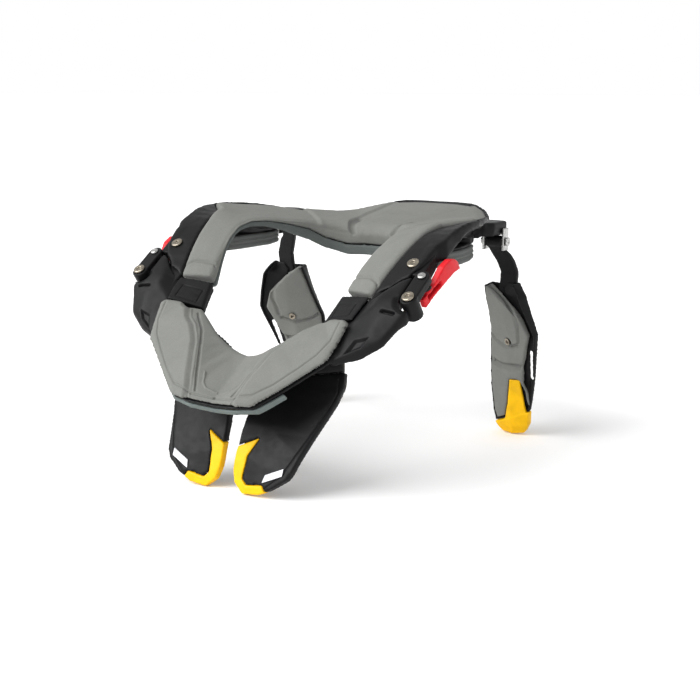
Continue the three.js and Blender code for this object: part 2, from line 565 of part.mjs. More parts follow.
// Screw head with a six-sided recess, resting just above a height of the hinge frame
function capScrew(seat, u = 0, s = 0) {
  const top = seat + GAP + SCREW_HEAD;
  const recess = post(SCREW_RADIUS * RECESS, top + GAP, SCREW_HEAD, u, s, 6);
  return inHinge(cut(post(SCREW_RADIUS, top, SCREW_HEAD, u, s), recess));
}

// Mount of a rear wing: a bracket under the block, the pivot screw, and the strut that turns on it
const pivot = rearPoint(...PIVOT);
const blockBottom = pivot.z + BRACKET_ROOM + CHEEK_WALL + GAP;

// A cylinder along X between two distances from the pivot
function crossPost(radius, from, to, sides = 20) {
  const geometry = new THREE.CylinderGeometry(radius, radius, to - from, sides);
  geometry.rotateZ(Math.PI / 2);
  return geometry.translate(pivot.x + (from + to) / 2, pivot.y, pivot.z);
}

function box(low, high) {
  const size = high.clone().sub(low);
  const middle = low.clone().add(high).multiplyScalar(0.5);
  return new THREE.BoxGeometry(size.x, size.y, size.z).translate(middle.x, middle.y, middle.z);
}

const hubSide = STRUT_WIDTH / 2;
const cheekIn = hubSide + GAP;
const cheekOut = cheekIn + CHEEK_WALL;

function wingBracket() {
  const [front, back] = [-CHEEK_WIDTH / 2, CHEEK_WIDTH / 2];
  const at = (x, y, z) => pivot.clone().add(vec(x, y, z));
  const bridgeTop = BRACKET_ROOM + CHEEK_WALL;
  return cut(
    joined(
      box(at(-cheekOut, front, BRACKET_ROOM), at(cheekOut, back, bridgeTop)),
      box(at(-cheekOut, front, -CHEEK_BELOW), at(-cheekIn, back, bridgeTop)),
      box(at(cheekIn, front, -CHEEK_BELOW), at(cheekOut, back, CHEEK_ABOVE)),
    ),
    crossPost(PIVOT_RADIUS + GAP / 2, -cheekOut - GAP, cheekOut + GAP),
  );
}

function pivotScrew() {
  const far = cheekOut + GAP + PIVOT_HEAD;
  const head = cut(
    crossPost(PIVOT_HEAD_RADIUS, cheekOut + GAP, far),
    crossPost(PIVOT_HEAD_RADIUS * RECESS, far - PIVOT_HEAD * 0.6, far + GAP, 6),
  );
  const nut = crossPost(PIVOT_HEAD_RADIUS, -far, -cheekOut - GAP, 6);
  return joined(crossPost(PIVOT_RADIUS, -far + GAP, far - PIVOT_HEAD * 0.7, 12), head, nut);
}

// The strut's blade, thicker all round by grow
function strutBlade(grow = 0) {
  const path = STRUT.map(([x, y, z]) => rearPoint(x, y, z));
  const rings = path.map((p, k) => {
    const along = path[Math.min(k + 1, path.length - 1)].clone().sub(path[Math.max(k - 1, 0)]).normalize();
    const deep = vec(1, 0, 0).cross(along).normalize();
    const half = STRUT_THICKNESS / 2 + grow;
    const wide = hubSide * STRUT[k][3] + grow;
    return [[-wide, -half], [wide, -half], [wide, half], [-wide, half]]
      .map(([x, d]) => moved(p, [vec(1, 0, 0), x], [deep, d]));
  });
  if (grow) rings[rings.length - 1].forEach((p) => (p.z -= grow));
  return loft(rings);
}

function wingStrut() {
  const hub = crossPost(HUB_RADIUS, -hubSide, hubSide);
  return cut(joined(strutBlade(), hub), crossPost(PIVOT_RADIUS + GAP / 2, -cheekIn, cheekIn));
}

// Wings
const wingLean = (z) => -CHEST_FORWARD * FRONT_REACH + CHEST_LEAN * z * (1 + z / CHEST_DROP);

function chestWingRows() {
  const rows = CHEST_WING.map(({ a, b, lean }) => {
    const low = vec(a[0] * HALF_WIDTH, 0, a[1] * CHEST_DROP);
    const high = vec(b[0] * HALF_WIDTH, 0, b[1] * CHEST_DROP);
    low.y = wingLean(low.z);
    high.y = wingLean(high.z) + lean * FRONT_REACH;
    return { a: low, b: high, depth: FRONT_WING_DEPTH };
  });
  return rows.map((row, k, all) => ({ ...row, ...facing(all, k) }));
}

function backWingRows() {
  const point = ([x, y, z]) => vec(x * HALF_WIDTH, y * REAR_REACH, z * BACK_DROP);
  const rows = BACK_WING.map(({ a, b, d, p }) => ({ a: point(a), b: point(b), depth: d * WING_DEPTH, p }));
  return rows.map((row, k, all) => ({ ...row, ...facing(all, k) }));
}

// Across a wing from its inner to its outer edge, and out of its front face
function facing(rows, k) {
  const { across, up } = directions(rows, k, "a", "b");
  const out = up.y > 0 ? up.negate() : up;
  return { across, out };
}

// The rows from one to another: the first one raised, and the last one lowered or one more put above it
function rowsBetween(rows, from, to, first = 0, last = 0) {
  const rise = (point, z) => moved(point, [vec(0, 0, 1), z]);
  const copy = (row, z) => ({ ...row, a: rise(row.a, z), b: rise(row.b, z) });
  const some = rows.slice(from, to);
  some[0] = copy(some[0], first);
  if (last < 0) some[some.length - 1] = copy(some.at(-1), last);
  return last > 0 ? [...some, copy(some.at(-1), last)] : some;
}

// Body of a wing between two depths behind its front face, inset from its two edges; crowned by crown.
// The depths and the outer inset may change from row to row.
function wingBody(rows, front, back, insetA = 0, insetB = 0, crown = 0) {
  const read = (value, row) => (typeof value === "function" ? value(row) : value);
  return loft(rows.map((row) => {
    const { a, b, across, out } = row;
    const width = b.distanceTo(a);
    const [left, right] = [insetA, width - read(insetB, row)];
    const middle = right > width / 2 + GAP ? width / 2 : (left + right) / 2;
    const ring = [left, middle, right].map((at) => {
      return moved(a, [across, at], [out, crown * (1 - Math.abs((2 * at) / width - 1))]);
    });
    const [near, far] = [front, back].map((depth) => ring.map((p) => moved(p, [out, -read(depth, row)])));
    return [...near, ...far.reverse()];
  }));
}

// Solid that runs through a wing, with an outline in shares seen from the front, grown all round
function slabThrough(outline, drop, grow = 0) {
  const points = outline.map(([x, z]) => new THREE.Vector2(x * HALF_WIDTH, z * drop));
  const turn = THREE.ShapeUtils.isClockWise(points) ? 1 : -1;
  const spread = points.map((p, k) => {
    const [before, after] = [points.at(k - 1), points[(k + 1) % points.length]];
    const [e, f] = [p.clone().sub(before).normalize(), after.clone().sub(p).normalize()];
    const bisector = new THREE.Vector2(-e.y - f.y, e.x + f.x).normalize();
    const length = (turn * grow) / Math.max(0.5, bisector.dot(new THREE.Vector2(-e.y, e.x)));
    return p.clone().addScaledVector(bisector, length);
  });
  const shape = new THREE.Shape(spread);
  const reach = REAR_REACH * 2;
  return plate(shape, reach).rotateX(Math.PI / 2).translate(0, reach / 2, 0);
}

function grommet({ a, b, out }) {
  const top = moved(a.clone().lerp(b, 0.5), [out, WING_CROWN + WING_PAD_RISE + GAP]);
  const ringAt = (radius, from, to, sides) => {
    const geometry = new THREE.CylinderGeometry(radius, radius, from - to, sides);
    geometry.translate(0, (from + to) / 2, 0);
    geometry.applyQuaternion(new THREE.Quaternion().setFromUnitVectors(vec(0, 1, 0), out));
    return geometry.translate(top.x, top.y, top.z);
  };
  const sleeve = GROMMET_RADIUS * SLEEVE;
  const body = joined(
    ringAt(GROMMET_RADIUS, GROMMET_FLANGE, 0, 20), ringAt(sleeve, GROMMET_FLANGE, -GROMMET_DEPTH, 20),
  );
  return {
    body: cut(body, ringAt(GROMMET_RADIUS * RECESS, GROMMET_FLANGE + GAP, -GROMMET_DEPTH * 0.8, 12)),
    room: ringAt(sleeve + GAP, ROOM, -GROMMET_DEPTH - GAP * 2, 20),
  };
}

const root = new THREE.Group();
const brace = new THREE.Group();
root.add(brace);

function piece(name, geometry, look) {
  const mesh = new THREE.Mesh(geometry, look);
  mesh.name = name;
  brace.add(mesh);
}

// A piece on the wearer's left and its mirror image on the right
function pair(name, geometry, look) {
  piece(name + "_left", geometry, look);
  piece(name + "_right", mirrored(geometry), look);
}

// Ring, rear half
const additions = joined(
  shellLug(),
  slabAbove(SHOULDER, SHOULDER_SEAM, SHOULDER_TOP),
  slabAbove(WING_BLOCK, blockBottom, WING_BLOCK_TOP),
);
const sweep = inHinge(post(LINK_REACH * CHEEK_SWEEP, LINK_REACH / 2, LINK_REACH * 2));
const rim = cut(wholeBand(ringRows.map(shellRing)), sweep, mirrored(sweep));
const rearBand = joined(rim, additions, mirrored(additions));
const screwSeat = inHinge(post(SCREW_RADIUS + GAP, ROOM, ROOM + SCREW_SEAT, upperAt.x, upperAt.y));
const overRear = wholeBand(ringRows.map(overRing));
piece("rear_shell", cut(rearBand, overRear, screwSeat, mirrored(screwSeat)), finish.shell);
piece("rear_pad", wholeBand(ringRows.map(ringPadRing)), finish.foam);
piece("rear_lining", wholeBand(ringRows.map(liningRing)), finish.lining);
const shoulderTop = SHOULDER_SEAM - GAP;
pair("shoulder_pad", slabAbove(SHOULDER, shoulderTop - SHOULDER_PAD, shoulderTop), finish.foam);

// Ring, front half
const overFront = wholeBand(tableRows.map(overTableRing));
const cheek = cut(cheekOfFrontShell(), overFront);
const socket = inHinge(post(BARREL_RADIUS + GAP, LINK_REACH, LINK_REACH * 3));
const frontBand = wholeBand(tableRows.map(tableShellRing));
const frontShell = cut(joined(frontBand, cheek, mirrored(cheek)), socket, mirrored(socket));
piece("front_shell", frontShell, finish.shell);
piece("front_pad", wholeBand(padRows.map(tablePadRing)), finish.foam);
pair("saddle", loft(saddleRows.map(tablePadRing)), finish.shell);
piece("front_lip_trim", wholeBand(padRows.slice(TRIM_FROM).map(trimRing)), finish.rubber);

// Hinges and latches
const barrel = post(BARREL_RADIUS, -GAP, BARREL_LENGTH);
pair("hinge_link", inHinge(joined(linkBar(), barrel)), finish.shell);
pair("latch_lever", latchLever(), finish.lever);
pair("latch_pin", latchPin(), finish.silver);
pair("lower_screw", capScrew(0), finish.nickel);
pair("upper_screw", capScrew(-SCREW_SEAT, upperAt.x, upperAt.y), finish.nickel);

// Wings on the chest: a tray with foam in it towards the chest, a cap round its tip, a stripe
const chestRows = chestWingRows();
const chestLast = chestRows.length - 1;
const wall = FRONT_WING_WALL;
const chestHollow = wingBody(rowsBetween(chestRows, 1, chestLast, wall, -wall), wall, ROOM, wall, wall);
const chestTray = cut(wingBody(chestRows, 0, FRONT_WING_DEPTH), chestHollow);
pair("front_wing_shell", cut(chestTray, slabThrough(CHEST_CAP, CHEST_DROP, GAP)), finish.shell);
pair("front_wing_cap", shared(chestTray, slabThrough(CHEST_CAP, CHEST_DROP)), finish.cap);
const inset = wall + GAP;
const chestFoam = wingBody(
  rowsBetween(chestRows, 1, chestLast, inset, -inset), inset, FRONT_WING_DEPTH + FRONT_WING_PAD, inset, inset,
);
pair("front_wing_pad", chestFoam, finish.foam);
const stripe = shared(wingBody(chestRows, -GAP - STRIPE, -GAP), slabThrough(CHEST_STRIPE, CHEST_DROP));
pair("front_wing_stripe", stripe, finish.stripe);
const bracketFoot = rowsBetween(chestRows, chestLast, chestLast + 1, GAP)[0];
const bracketTop = rowsBetween(chestRows, chestLast, chestLast + 1, ROOM)[0];
const chestBracket = wingBody([bracketFoot, bracketTop], GAP, FRONT_WING_DEPTH, WING_WALL, WING_WALL);
pair("front_wing_bracket", cut(chestBracket, wholeBand(tableRows.map(aboveTableRing))), finish.shell);

// Wings on the back: a tray open towards the back of the body, its foam, a cap with a tongue
pair("rear_wing_bracket", wingBracket(), finish.silver);
pair("pivot_screw", pivotScrew(), finish.silver);
pair("rear_wing_strut", wingStrut(), finish.shell);
const backRows = backWingRows();
const backLast = backRows.length;
const full = (row) => row.depth;
const floor = (row) => row.depth - WING_WALL;
const backHollow = wingBody(
  rowsBetween(backRows, CAP_ROWS, backLast, WING_WALL + GAP, ROOM), -ROOM, floor, WING_WALL, WING_WALL,
  WING_CROWN,
);
const backTray = wingBody(rowsBetween(backRows, CAP_ROWS, backLast, GAP), 0, full, 0, 0, WING_CROWN);
const backSlot = slabThrough(BACK_SLOT, BACK_DROP);
const tongueRoom = slabThrough(BACK_TONGUE, BACK_DROP, GAP);
const tongueWay = shared(
  wingBody(rowsBetween(backRows, 0, CAP_ROWS + TONGUE_ROWS), -ROOM, floor, 0, 0, WING_CROWN), tongueRoom,
);
const blade = strutBlade(GAP);
pair("rear_wing_shell", cut(backTray, backHollow, backSlot, blade, tongueWay), finish.shell);
const backFoam = wingBody(
  rowsBetween(backRows, CAP_ROWS, backLast, WING_WALL + GAP * 2, -GAP), -WING_PAD_RISE, full, WING_WALL + GAP,
  (row) => (1 - row.p) * row.a.distanceTo(row.b), WING_CROWN,
);
const underFoam = wingBody(
  rowsBetween(backRows, CAP_ROWS, backLast, 0, ROOM), (row) => floor(row) - GAP, ROOM, 0, 0, WING_CROWN,
);
const eyelet = grommet(backRows[GROMMET_ROW]);
pair("rear_wing_pad", cut(backFoam, underFoam, tongueRoom, blade, eyelet.room), finish.foam);
pair("rear_wing_grommet", eyelet.body, finish.nickel);
const tongueRows = rowsBetween(backRows, 1, backLast);
const tongueFace = TONGUE_STEP - WING_PAD_RISE;
const tongue = shared(
  wingBody(tongueRows, tongueFace, (row) => floor(row) - GAP, 0, 0, WING_CROWN),
  slabThrough(BACK_TONGUE, BACK_DROP),
);
const tip = wingBody(rowsBetween(backRows, 0, CAP_ROWS + 1), -WING_PAD_RISE, full, 0, 0, WING_CROWN);
pair("rear_wing_cap", joined(tip, tongue), finish.cap);

// Stand the brace on the floor, centred
const bounds = new THREE.Box3().setFromObject(root);
brace.position.set(0, -(bounds.min.y + bounds.max.y) / 2, -bounds.min.z);

export default root;
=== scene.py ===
"""Looks of the motocross neck brace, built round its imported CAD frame.

The ring has a rear half and a front half, joined by two hinge sets with red latch levers. Two short
wings stand on the chest side and two long ones hang from the rear half on struts. Points typed in
millimetres are measured from the hinge line and the floor, +X the wearer's left, -Y the chest side.
"""

import logging
import math
from dataclasses import dataclass, field
from enum import Enum
from typing import Callable, Sequence

import bmesh
import bpy
import numpy as np
from mathutils import Matrix, Vector


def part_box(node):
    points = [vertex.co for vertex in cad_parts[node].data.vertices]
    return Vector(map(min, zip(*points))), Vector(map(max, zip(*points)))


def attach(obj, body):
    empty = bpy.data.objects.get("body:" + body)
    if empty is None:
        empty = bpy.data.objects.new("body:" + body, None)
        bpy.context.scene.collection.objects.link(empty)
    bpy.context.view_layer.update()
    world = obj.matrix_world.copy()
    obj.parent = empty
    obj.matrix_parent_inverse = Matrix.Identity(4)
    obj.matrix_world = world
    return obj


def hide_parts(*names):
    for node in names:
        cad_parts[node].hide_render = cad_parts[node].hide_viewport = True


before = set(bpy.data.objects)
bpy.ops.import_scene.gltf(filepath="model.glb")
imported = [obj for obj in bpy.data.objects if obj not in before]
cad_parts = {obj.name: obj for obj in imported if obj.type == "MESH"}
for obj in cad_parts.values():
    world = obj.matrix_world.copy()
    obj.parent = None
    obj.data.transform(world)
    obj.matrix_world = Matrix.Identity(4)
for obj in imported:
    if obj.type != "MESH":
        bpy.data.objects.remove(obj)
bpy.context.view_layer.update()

HINGE_LINE_Y = -0.10811
FLOOR_RISE = 0.00069
HINGE_ORIGIN = (137.06, 0.0, 161.9)
HINGE_TILT = 0.5964
FRAME_PIXELS = 700
SENSOR = 36.0

SMALL_PIECE = 9_000
KEPT_SHARE = 0.55
MOST_TRIANGLES = 150_000

Point = tuple[float, float, float]
Socket = bpy.types.NodeSocket
log = logging.getLogger("brace")


class Side(Enum):
    """A side of the wearer."""

    LEFT = 1
    RIGHT = -1

    def name_of(self, base: str) -> str:
        """Name of a paired piece on this side."""
        return f"{base}_{self.name.lower()}"


class Slot(Enum):
    """Material slots of the record."""

    SHELL = "shell_black"
    SADDLE = "saddle_black"
    STRUT = "strut_black"
    FOAM = "foam"
    FOAM_DARK = "foam_dark"
    LINING = "lining"
    RUBBER = "rubber"
    LEVER = "lever_red"
    STEEL = "steel"
    NICKEL = "nickel"
    CAP = "cap_yellow"
    STRIPE = "stripe_white"


def place(x: float, y: float, z: float) -> Vector:
    """A point typed in millimetres, in the frame's metres."""
    return Vector((x / 1000, y / 1000 + HINGE_LINE_Y, z / 1000 + FLOOR_RISE))


def hinge_axes() -> tuple[Vector, Vector, Vector]:
    """Outward, along the arm, and up the barrel, for the wearer's left hinge."""
    c, s = math.cos(HINGE_TILT), math.sin(HINGE_TILT)
    return Vector((1, 0, 0)), Vector((0, c, s)), Vector((0, -s, c))


def hinge_point(u: float, s: float, h: float) -> Point:
    """A point of the left hinge's own frame as millimetres of the brace.

    Args:
        u: outward from the barrel's axis.
        s: along the arm from the lower screw.
        h: up the barrel from the link's top.

    Returns:
        The point in millimetres, from the hinge line and the floor.
    """
    out, along, up = hinge_axes()
    p = Vector(HINGE_ORIGIN) + out * u + along * s + up * h
    return (p.x, p.y, p.z)


def smooth(value: np.ndarray, low: float, high: float) -> np.ndarray:
    """Rises from 0 at low to 1 at high, level at both ends."""
    t = np.clip((value - low) / (high - low), 0, 1)
    return t * t * (3 - 2 * t)


def between(place: np.ndarray, low: float, high: float) -> np.ndarray:
    """The same rise between two places in millimetres, for places in metres."""
    return smooth(place, low / 1000, high / 1000)


@dataclass(frozen=True)
class Stretch:
    """A stretch of one coordinate, in millimetres, that fades at both ends."""

    middle: float
    half: float
    fade: float

    def share(self, value: np.ndarray) -> np.ndarray:
        """1 within the stretch and 0 past its fades, for places in metres."""
        return between(abs(value - self.middle / 1000), self.half + self.fade, self.half)


# Finishes


class Recipe:
    """Nodes of one material, with short ways to add the usual ones."""

    def __init__(self, name: str) -> None:
        """Starts an empty material with a Principled shader.

        Args:
            name: name of the material.
        """
        self.material = bpy.data.materials.new(name)
        self.material.use_nodes = True
        self.tree = self.material.node_tree
        self.tree.nodes.clear()
        self.shader = self.tree.nodes.new("ShaderNodeBsdfPrincipled")
        output = self.tree.nodes.new("ShaderNodeOutputMaterial")
        self.tree.links.new(self.shader.outputs["BSDF"], output.inputs["Surface"])
        self.place = self.tree.nodes.new("ShaderNodeTexCoord").outputs["Object"]

    def noise(
        self, scale: float, detail: float = 4, rough: float = 0.55, stretch: Point = (1, 1, 1)
    ) -> Socket:
        """Noise over the surface.

        Args:
            scale: features per metre.
            detail: octaves.
            rough: how strong the finer octaves are.
            stretch: scale of each axis.

        Returns:
            The output socket with the noise value.
        """
        mapping = self.tree.nodes.new("ShaderNodeMapping")
        mapping.inputs["Scale"].default_value = stretch
        self.tree.links.new(self.place, mapping.inputs["Vector"])
        node = self.tree.nodes.new("ShaderNodeTexNoise")
        node.inputs["Scale"].default_value = scale
        node.inputs["Detail"].default_value = detail
        node.inputs["Roughness"].default_value = rough
        self.tree.links.new(mapping.outputs["Vector"], node.inputs["Vector"])
        return node.outputs["Fac"]

    def cells(self, scale: float) -> Socket:
        """Distance to the nearest of many scattered points, for pores and beads.

        Args:
            scale: points per metre.

        Returns:
            The output socket with the distance.
        """
        node = self.tree.nodes.new("ShaderNodeTexVoronoi")
        node.inputs["Scale"].default_value = scale
        self.tree.links.new(self.place, node.inputs["Vector"])
        return node.outputs["Distance"]

    def edges(self) -> Socket:
        """How far the surface bulges, about a half where it is flat."""
        return self.tree.nodes.new("ShaderNodeNewGeometry").outputs["Pointiness"]

    def ramp(self, source: Socket, stops: Sequence[tuple[float, Sequence[float]]]) -> Socket:
        """Colours along a value.

        Args:
            source: output socket with the value.
            stops: position and linear colour of each stop.

        Returns:
            The output socket with the colour.
        """
        node = self.tree.nodes.new("ShaderNodeValToRGB")
        elements = node.color_ramp.elements
        while len(elements) < len(stops):
            elements.new(0.5)
        for element, (at, colour) in zip(elements, stops):
            element.position = at
            element.color = (*colour, 1) if len(colour) == 3 else (colour[0],) * 3 + (1,)
        self.tree.links.new(source, node.inputs["Fac"])
        return node.outputs["Color"]

    def mixed(self, factor: Socket, a: Socket, b: Socket) -> Socket:
        """Colour b over colour a by a factor.

        Args:
            factor: share of the second colour.
            a: first colour.
            b: second colour.

        Returns:
            The output socket with the colour.
        """
        node = self.tree.nodes.new("ShaderNodeMix")
        node.data_type = "RGBA"
        self.tree.links.new(factor, node.inputs["Factor"])
        self.tree.links.new(a, node.inputs["A"])
        self.tree.links.new(b, node.inputs["B"])
        return node.outputs["Result"]

    def colour(self, source: Socket) -> None:
        """Base colour from a socket."""
        self.tree.links.new(source, self.shader.inputs["Base Color"])

    def roughness(self, source: Socket, low: float, high: float) -> None:
        """Roughness between two values along a noise.

        Args:
            source: output socket with the noise.
            low: roughness where the noise is low.
            high: roughness where it is high.
        """
        span = self.tree.nodes.new("ShaderNodeMapRange")
        span.inputs["From Min"].default_value = 0.3
        span.inputs["From Max"].default_value = 0.7
        span.inputs["To Min"].default_value = low
        span.inputs["To Max"].default_value = high
        self.tree.links.new(source, span.inputs["Value"])
        self.tree.links.new(span.outputs["Result"], self.shader.inputs["Roughness"])

    def bump(self, layers: Sequence[tuple[Socket, float, float]]) -> None:
        """Relief from several layers.

        Args:
            layers: height socket, strength, and depth in metres of each.
        """
        normal = None
        for height, strength, depth in layers:
            node = self.tree.nodes.new("ShaderNodeBump")
            node.inputs["Strength"].default_value = strength
            node.inputs["Distance"].default_value = depth
            self.tree.links.new(height, node.inputs["Height"])
            if normal is not None:
                self.tree.links.new(normal, node.inputs["Normal"])
            normal = node.outputs["Normal"]
        self.tree.links.new(normal, self.shader.inputs["Normal"])

    def put(self, **values: float) -> None:
        """Plain values on the shader's own sockets, spaces written as underscores."""
        for key, value in values.items():
            self.shader.inputs[key.replace("_", " ")].default_value = value


@dataclass(frozen=True)
class MouldedFoam:
    """Soft foam with a closed, slightly mottled skin."""

    name: str
    light: Point
    dark: Point
    pore: float = 2600.0
    relief: float = 0.00016

    def material(self) -> bpy.types.Material:
        """The foam's material.

        Returns:
            The finished material.
        """
        r = Recipe(self.name)
        cloud = r.noise(38, 5, 0.6)
        speck = r.noise(900, 3, 0.6)
        mottled = r.ramp(cloud, [(0.3, self.dark), (0.7, self.light)])
        worn = tuple(min(1.0, c * 1.12) for c in self.light)
        flecked = r.ramp(speck, [(0.35, self.dark), (0.65, worn)])
        blend = r.ramp(r.noise(160, 2), [(0.4, (0.25,)), (0.62, (0.5,))])
        r.colour(r.mixed(blend, mottled, flecked))
        r.roughness(r.noise(220, 3), 0.78, 0.95)
        r.bump([(r.cells(self.pore), 0.35, self.relief), (r.noise(420, 5), 0.3, self.relief * 2)])
        r.put(Specular_IOR_Level=0.12)
        return r.material


@dataclass(frozen=True)
class MouldedPlastic:
    """Hard plastic with a fine spark-eroded grain, a little lighter along its worn edges."""

    name: str
    body: Point
    edge: Point
    shine: tuple[float, float] = (0.34, 0.5)
    grain: float = 1500.0
    relief: float = 0.00006
    coat: float = 0.0
    gloss: float = 0.14

    def material(self) -> bpy.types.Material:
        """The plastic's material.

        Returns:
            The finished material.
        """
        r = Recipe(self.name)
        tone = r.ramp(r.noise(60, 4), [(0.35, self.body), (0.7, tuple(c * 1.25 for c in self.body))])
        rub = r.ramp(r.edges(), [(0.53, (0.0,)), (0.62, (1.0,))])
        scuffs = r.ramp(r.noise(300, 6, 0.7), [(0.42, (0.0,)), (0.66, (1.0,))])
        worn = r.mixed(scuffs, tone, r.ramp(r.noise(500), [(0.0, self.edge), (1.0, self.edge)]))
        r.colour(r.mixed(rub, tone, worn))
        r.roughness(r.noise(140, 5, 0.65), *self.shine)
        r.bump([(r.noise(self.grain, 3, 0.6), 0.4, self.relief), (r.noise(90, 2), 0.1, self.relief * 3)])
        r.put(Coat_Weight=self.coat, Coat_Roughness=0.12, Specular_IOR_Level=self.gloss)
        return r.material


@dataclass(frozen=True)
class TrimRubber:
    """Soft rubber, matte and dusty."""

    name: str
    colour: Point

    def material(self) -> bpy.types.Material:
        """The rubber's material.

        Returns:
            The finished material.
        """
        r = Recipe(self.name)
        dusty = tuple(c * 1.3 for c in self.colour)
        r.colour(r.ramp(r.noise(120, 5, 0.65), [(0.3, self.colour), (0.75, dusty)]))
        r.roughness(r.noise(400, 4), 0.6, 0.82)
        r.bump([(r.noise(1900, 3), 0.3, 0.00008)])
        r.put(Specular_IOR_Level=0.4)
        return r.material


@dataclass(frozen=True)
class TurnedMetal:
    """Plated metal with fine machining marks and slight tarnish."""

    name: str
    bright: Point
    dull: Point
    shine: tuple[float, float] = (0.18, 0.34)
    stretch: Point = (1, 12, 1)

    def material(self) -> bpy.types.Material:
        """The metal's material.

        Returns:
            The finished material.
        """
        r = Recipe(self.name)
        r.colour(r.ramp(r.noise(260, 5, 0.7), [(0.35, self.dull), (0.6, self.bright)]))
        marks = r.noise(1400, 3, 0.6, self.stretch)
        r.roughness(marks, *self.shine)
        r.bump([(marks, 0.18, 0.00004), (r.noise(300, 2), 0.1, 0.00008)])
        r.put(Metallic=1.0)
        return r.material


@dataclass(frozen=True)
class ReflectiveTape:
    """White tape with tiny beads under a clear face."""

    name: str
    colour: Point

    def material(self) -> bpy.types.Material:
        """The tape's material.

        Returns:
            The finished material.
        """
        r = Recipe(self.name)
        dim = tuple(c * 0.82 for c in self.colour)
        beads = r.cells(2400)
        r.colour(r.ramp(beads, [(0.1, self.colour), (0.75, dim)]))
        r.roughness(r.noise(500, 3), 0.28, 0.5)
        r.bump([(beads, 0.3, 0.00005)])
        r.put(Coat_Weight=0.4, Coat_Roughness=0.1)
        return r.material


@dataclass
class Finishes:
    """Every finish of the brace by its slot."""

    made: dict[Slot, bpy.types.Material] = field(default_factory=dict)

    recipes = {
        Slot.SHELL: MouldedPlastic("satin_black_shell", (0.005, 0.005, 0.0055), (0.03, 0.03, 0.031)),
        Slot.SADDLE: MouldedPlastic(
            "matte_black_saddle", (0.006, 0.006, 0.0065), (0.03, 0.03, 0.03), (0.5, 0.64)
        ),
        Slot.STRUT: MouldedPlastic(
            "grained_black_strut", (0.006, 0.006, 0.0065), (0.05, 0.05, 0.05), (0.42, 0.62), 900.0, 0.00045
        ),
        Slot.FOAM: MouldedFoam("grey_foam", (0.176, 0.179, 0.167), (0.154, 0.158, 0.147)),
        # shaded_foam is the grey foam's colours made darker: painted shade for the pads under the arms and on
        # the short wings
        Slot.FOAM_DARK: MouldedFoam("shaded_foam", (0.118, 0.124, 0.12), (0.1, 0.105, 0.101)),
        Slot.LINING: MouldedFoam("green_grey_lining", (0.098, 0.111, 0.106), (0.081, 0.092, 0.089), 1800.0),
        Slot.RUBBER: TrimRubber("lip_rubber", (0.1, 0.12, 0.115)),
        Slot.LEVER: MouldedPlastic(
            "gloss_red_lever", (0.57, 0.013, 0.02), (0.7, 0.03, 0.03), (0.3, 0.42), 800.0, 0.00003, 0.0, 0.16
        ),
        Slot.STEEL: TurnedMetal("polished_steel", (0.5, 0.5, 0.49), (0.32, 0.32, 0.31)),
        Slot.NICKEL: TurnedMetal("warm_nickel", (0.36, 0.32, 0.26), (0.2, 0.175, 0.14)),
        Slot.CAP: MouldedPlastic(
            "yellow_cap", (0.72, 0.4, 0.0), (0.8, 0.5, 0.02), (0.38, 0.52), 1100.0, 0.00004, 0.0, 0.2
        ),
        Slot.STRIPE: ReflectiveTape("white_reflective_tape", (0.6, 0.6, 0.63)),
    }

    def of(self, slot: Slot) -> bpy.types.Material:
        """The material of a slot, made once.

        Args:
            slot: slot of the record.

        Returns:
            The slot's material.
        """
        if slot not in self.made:
            self.made[slot] = self.recipes[slot].material()
        return self.made[slot]


# Working a mesh


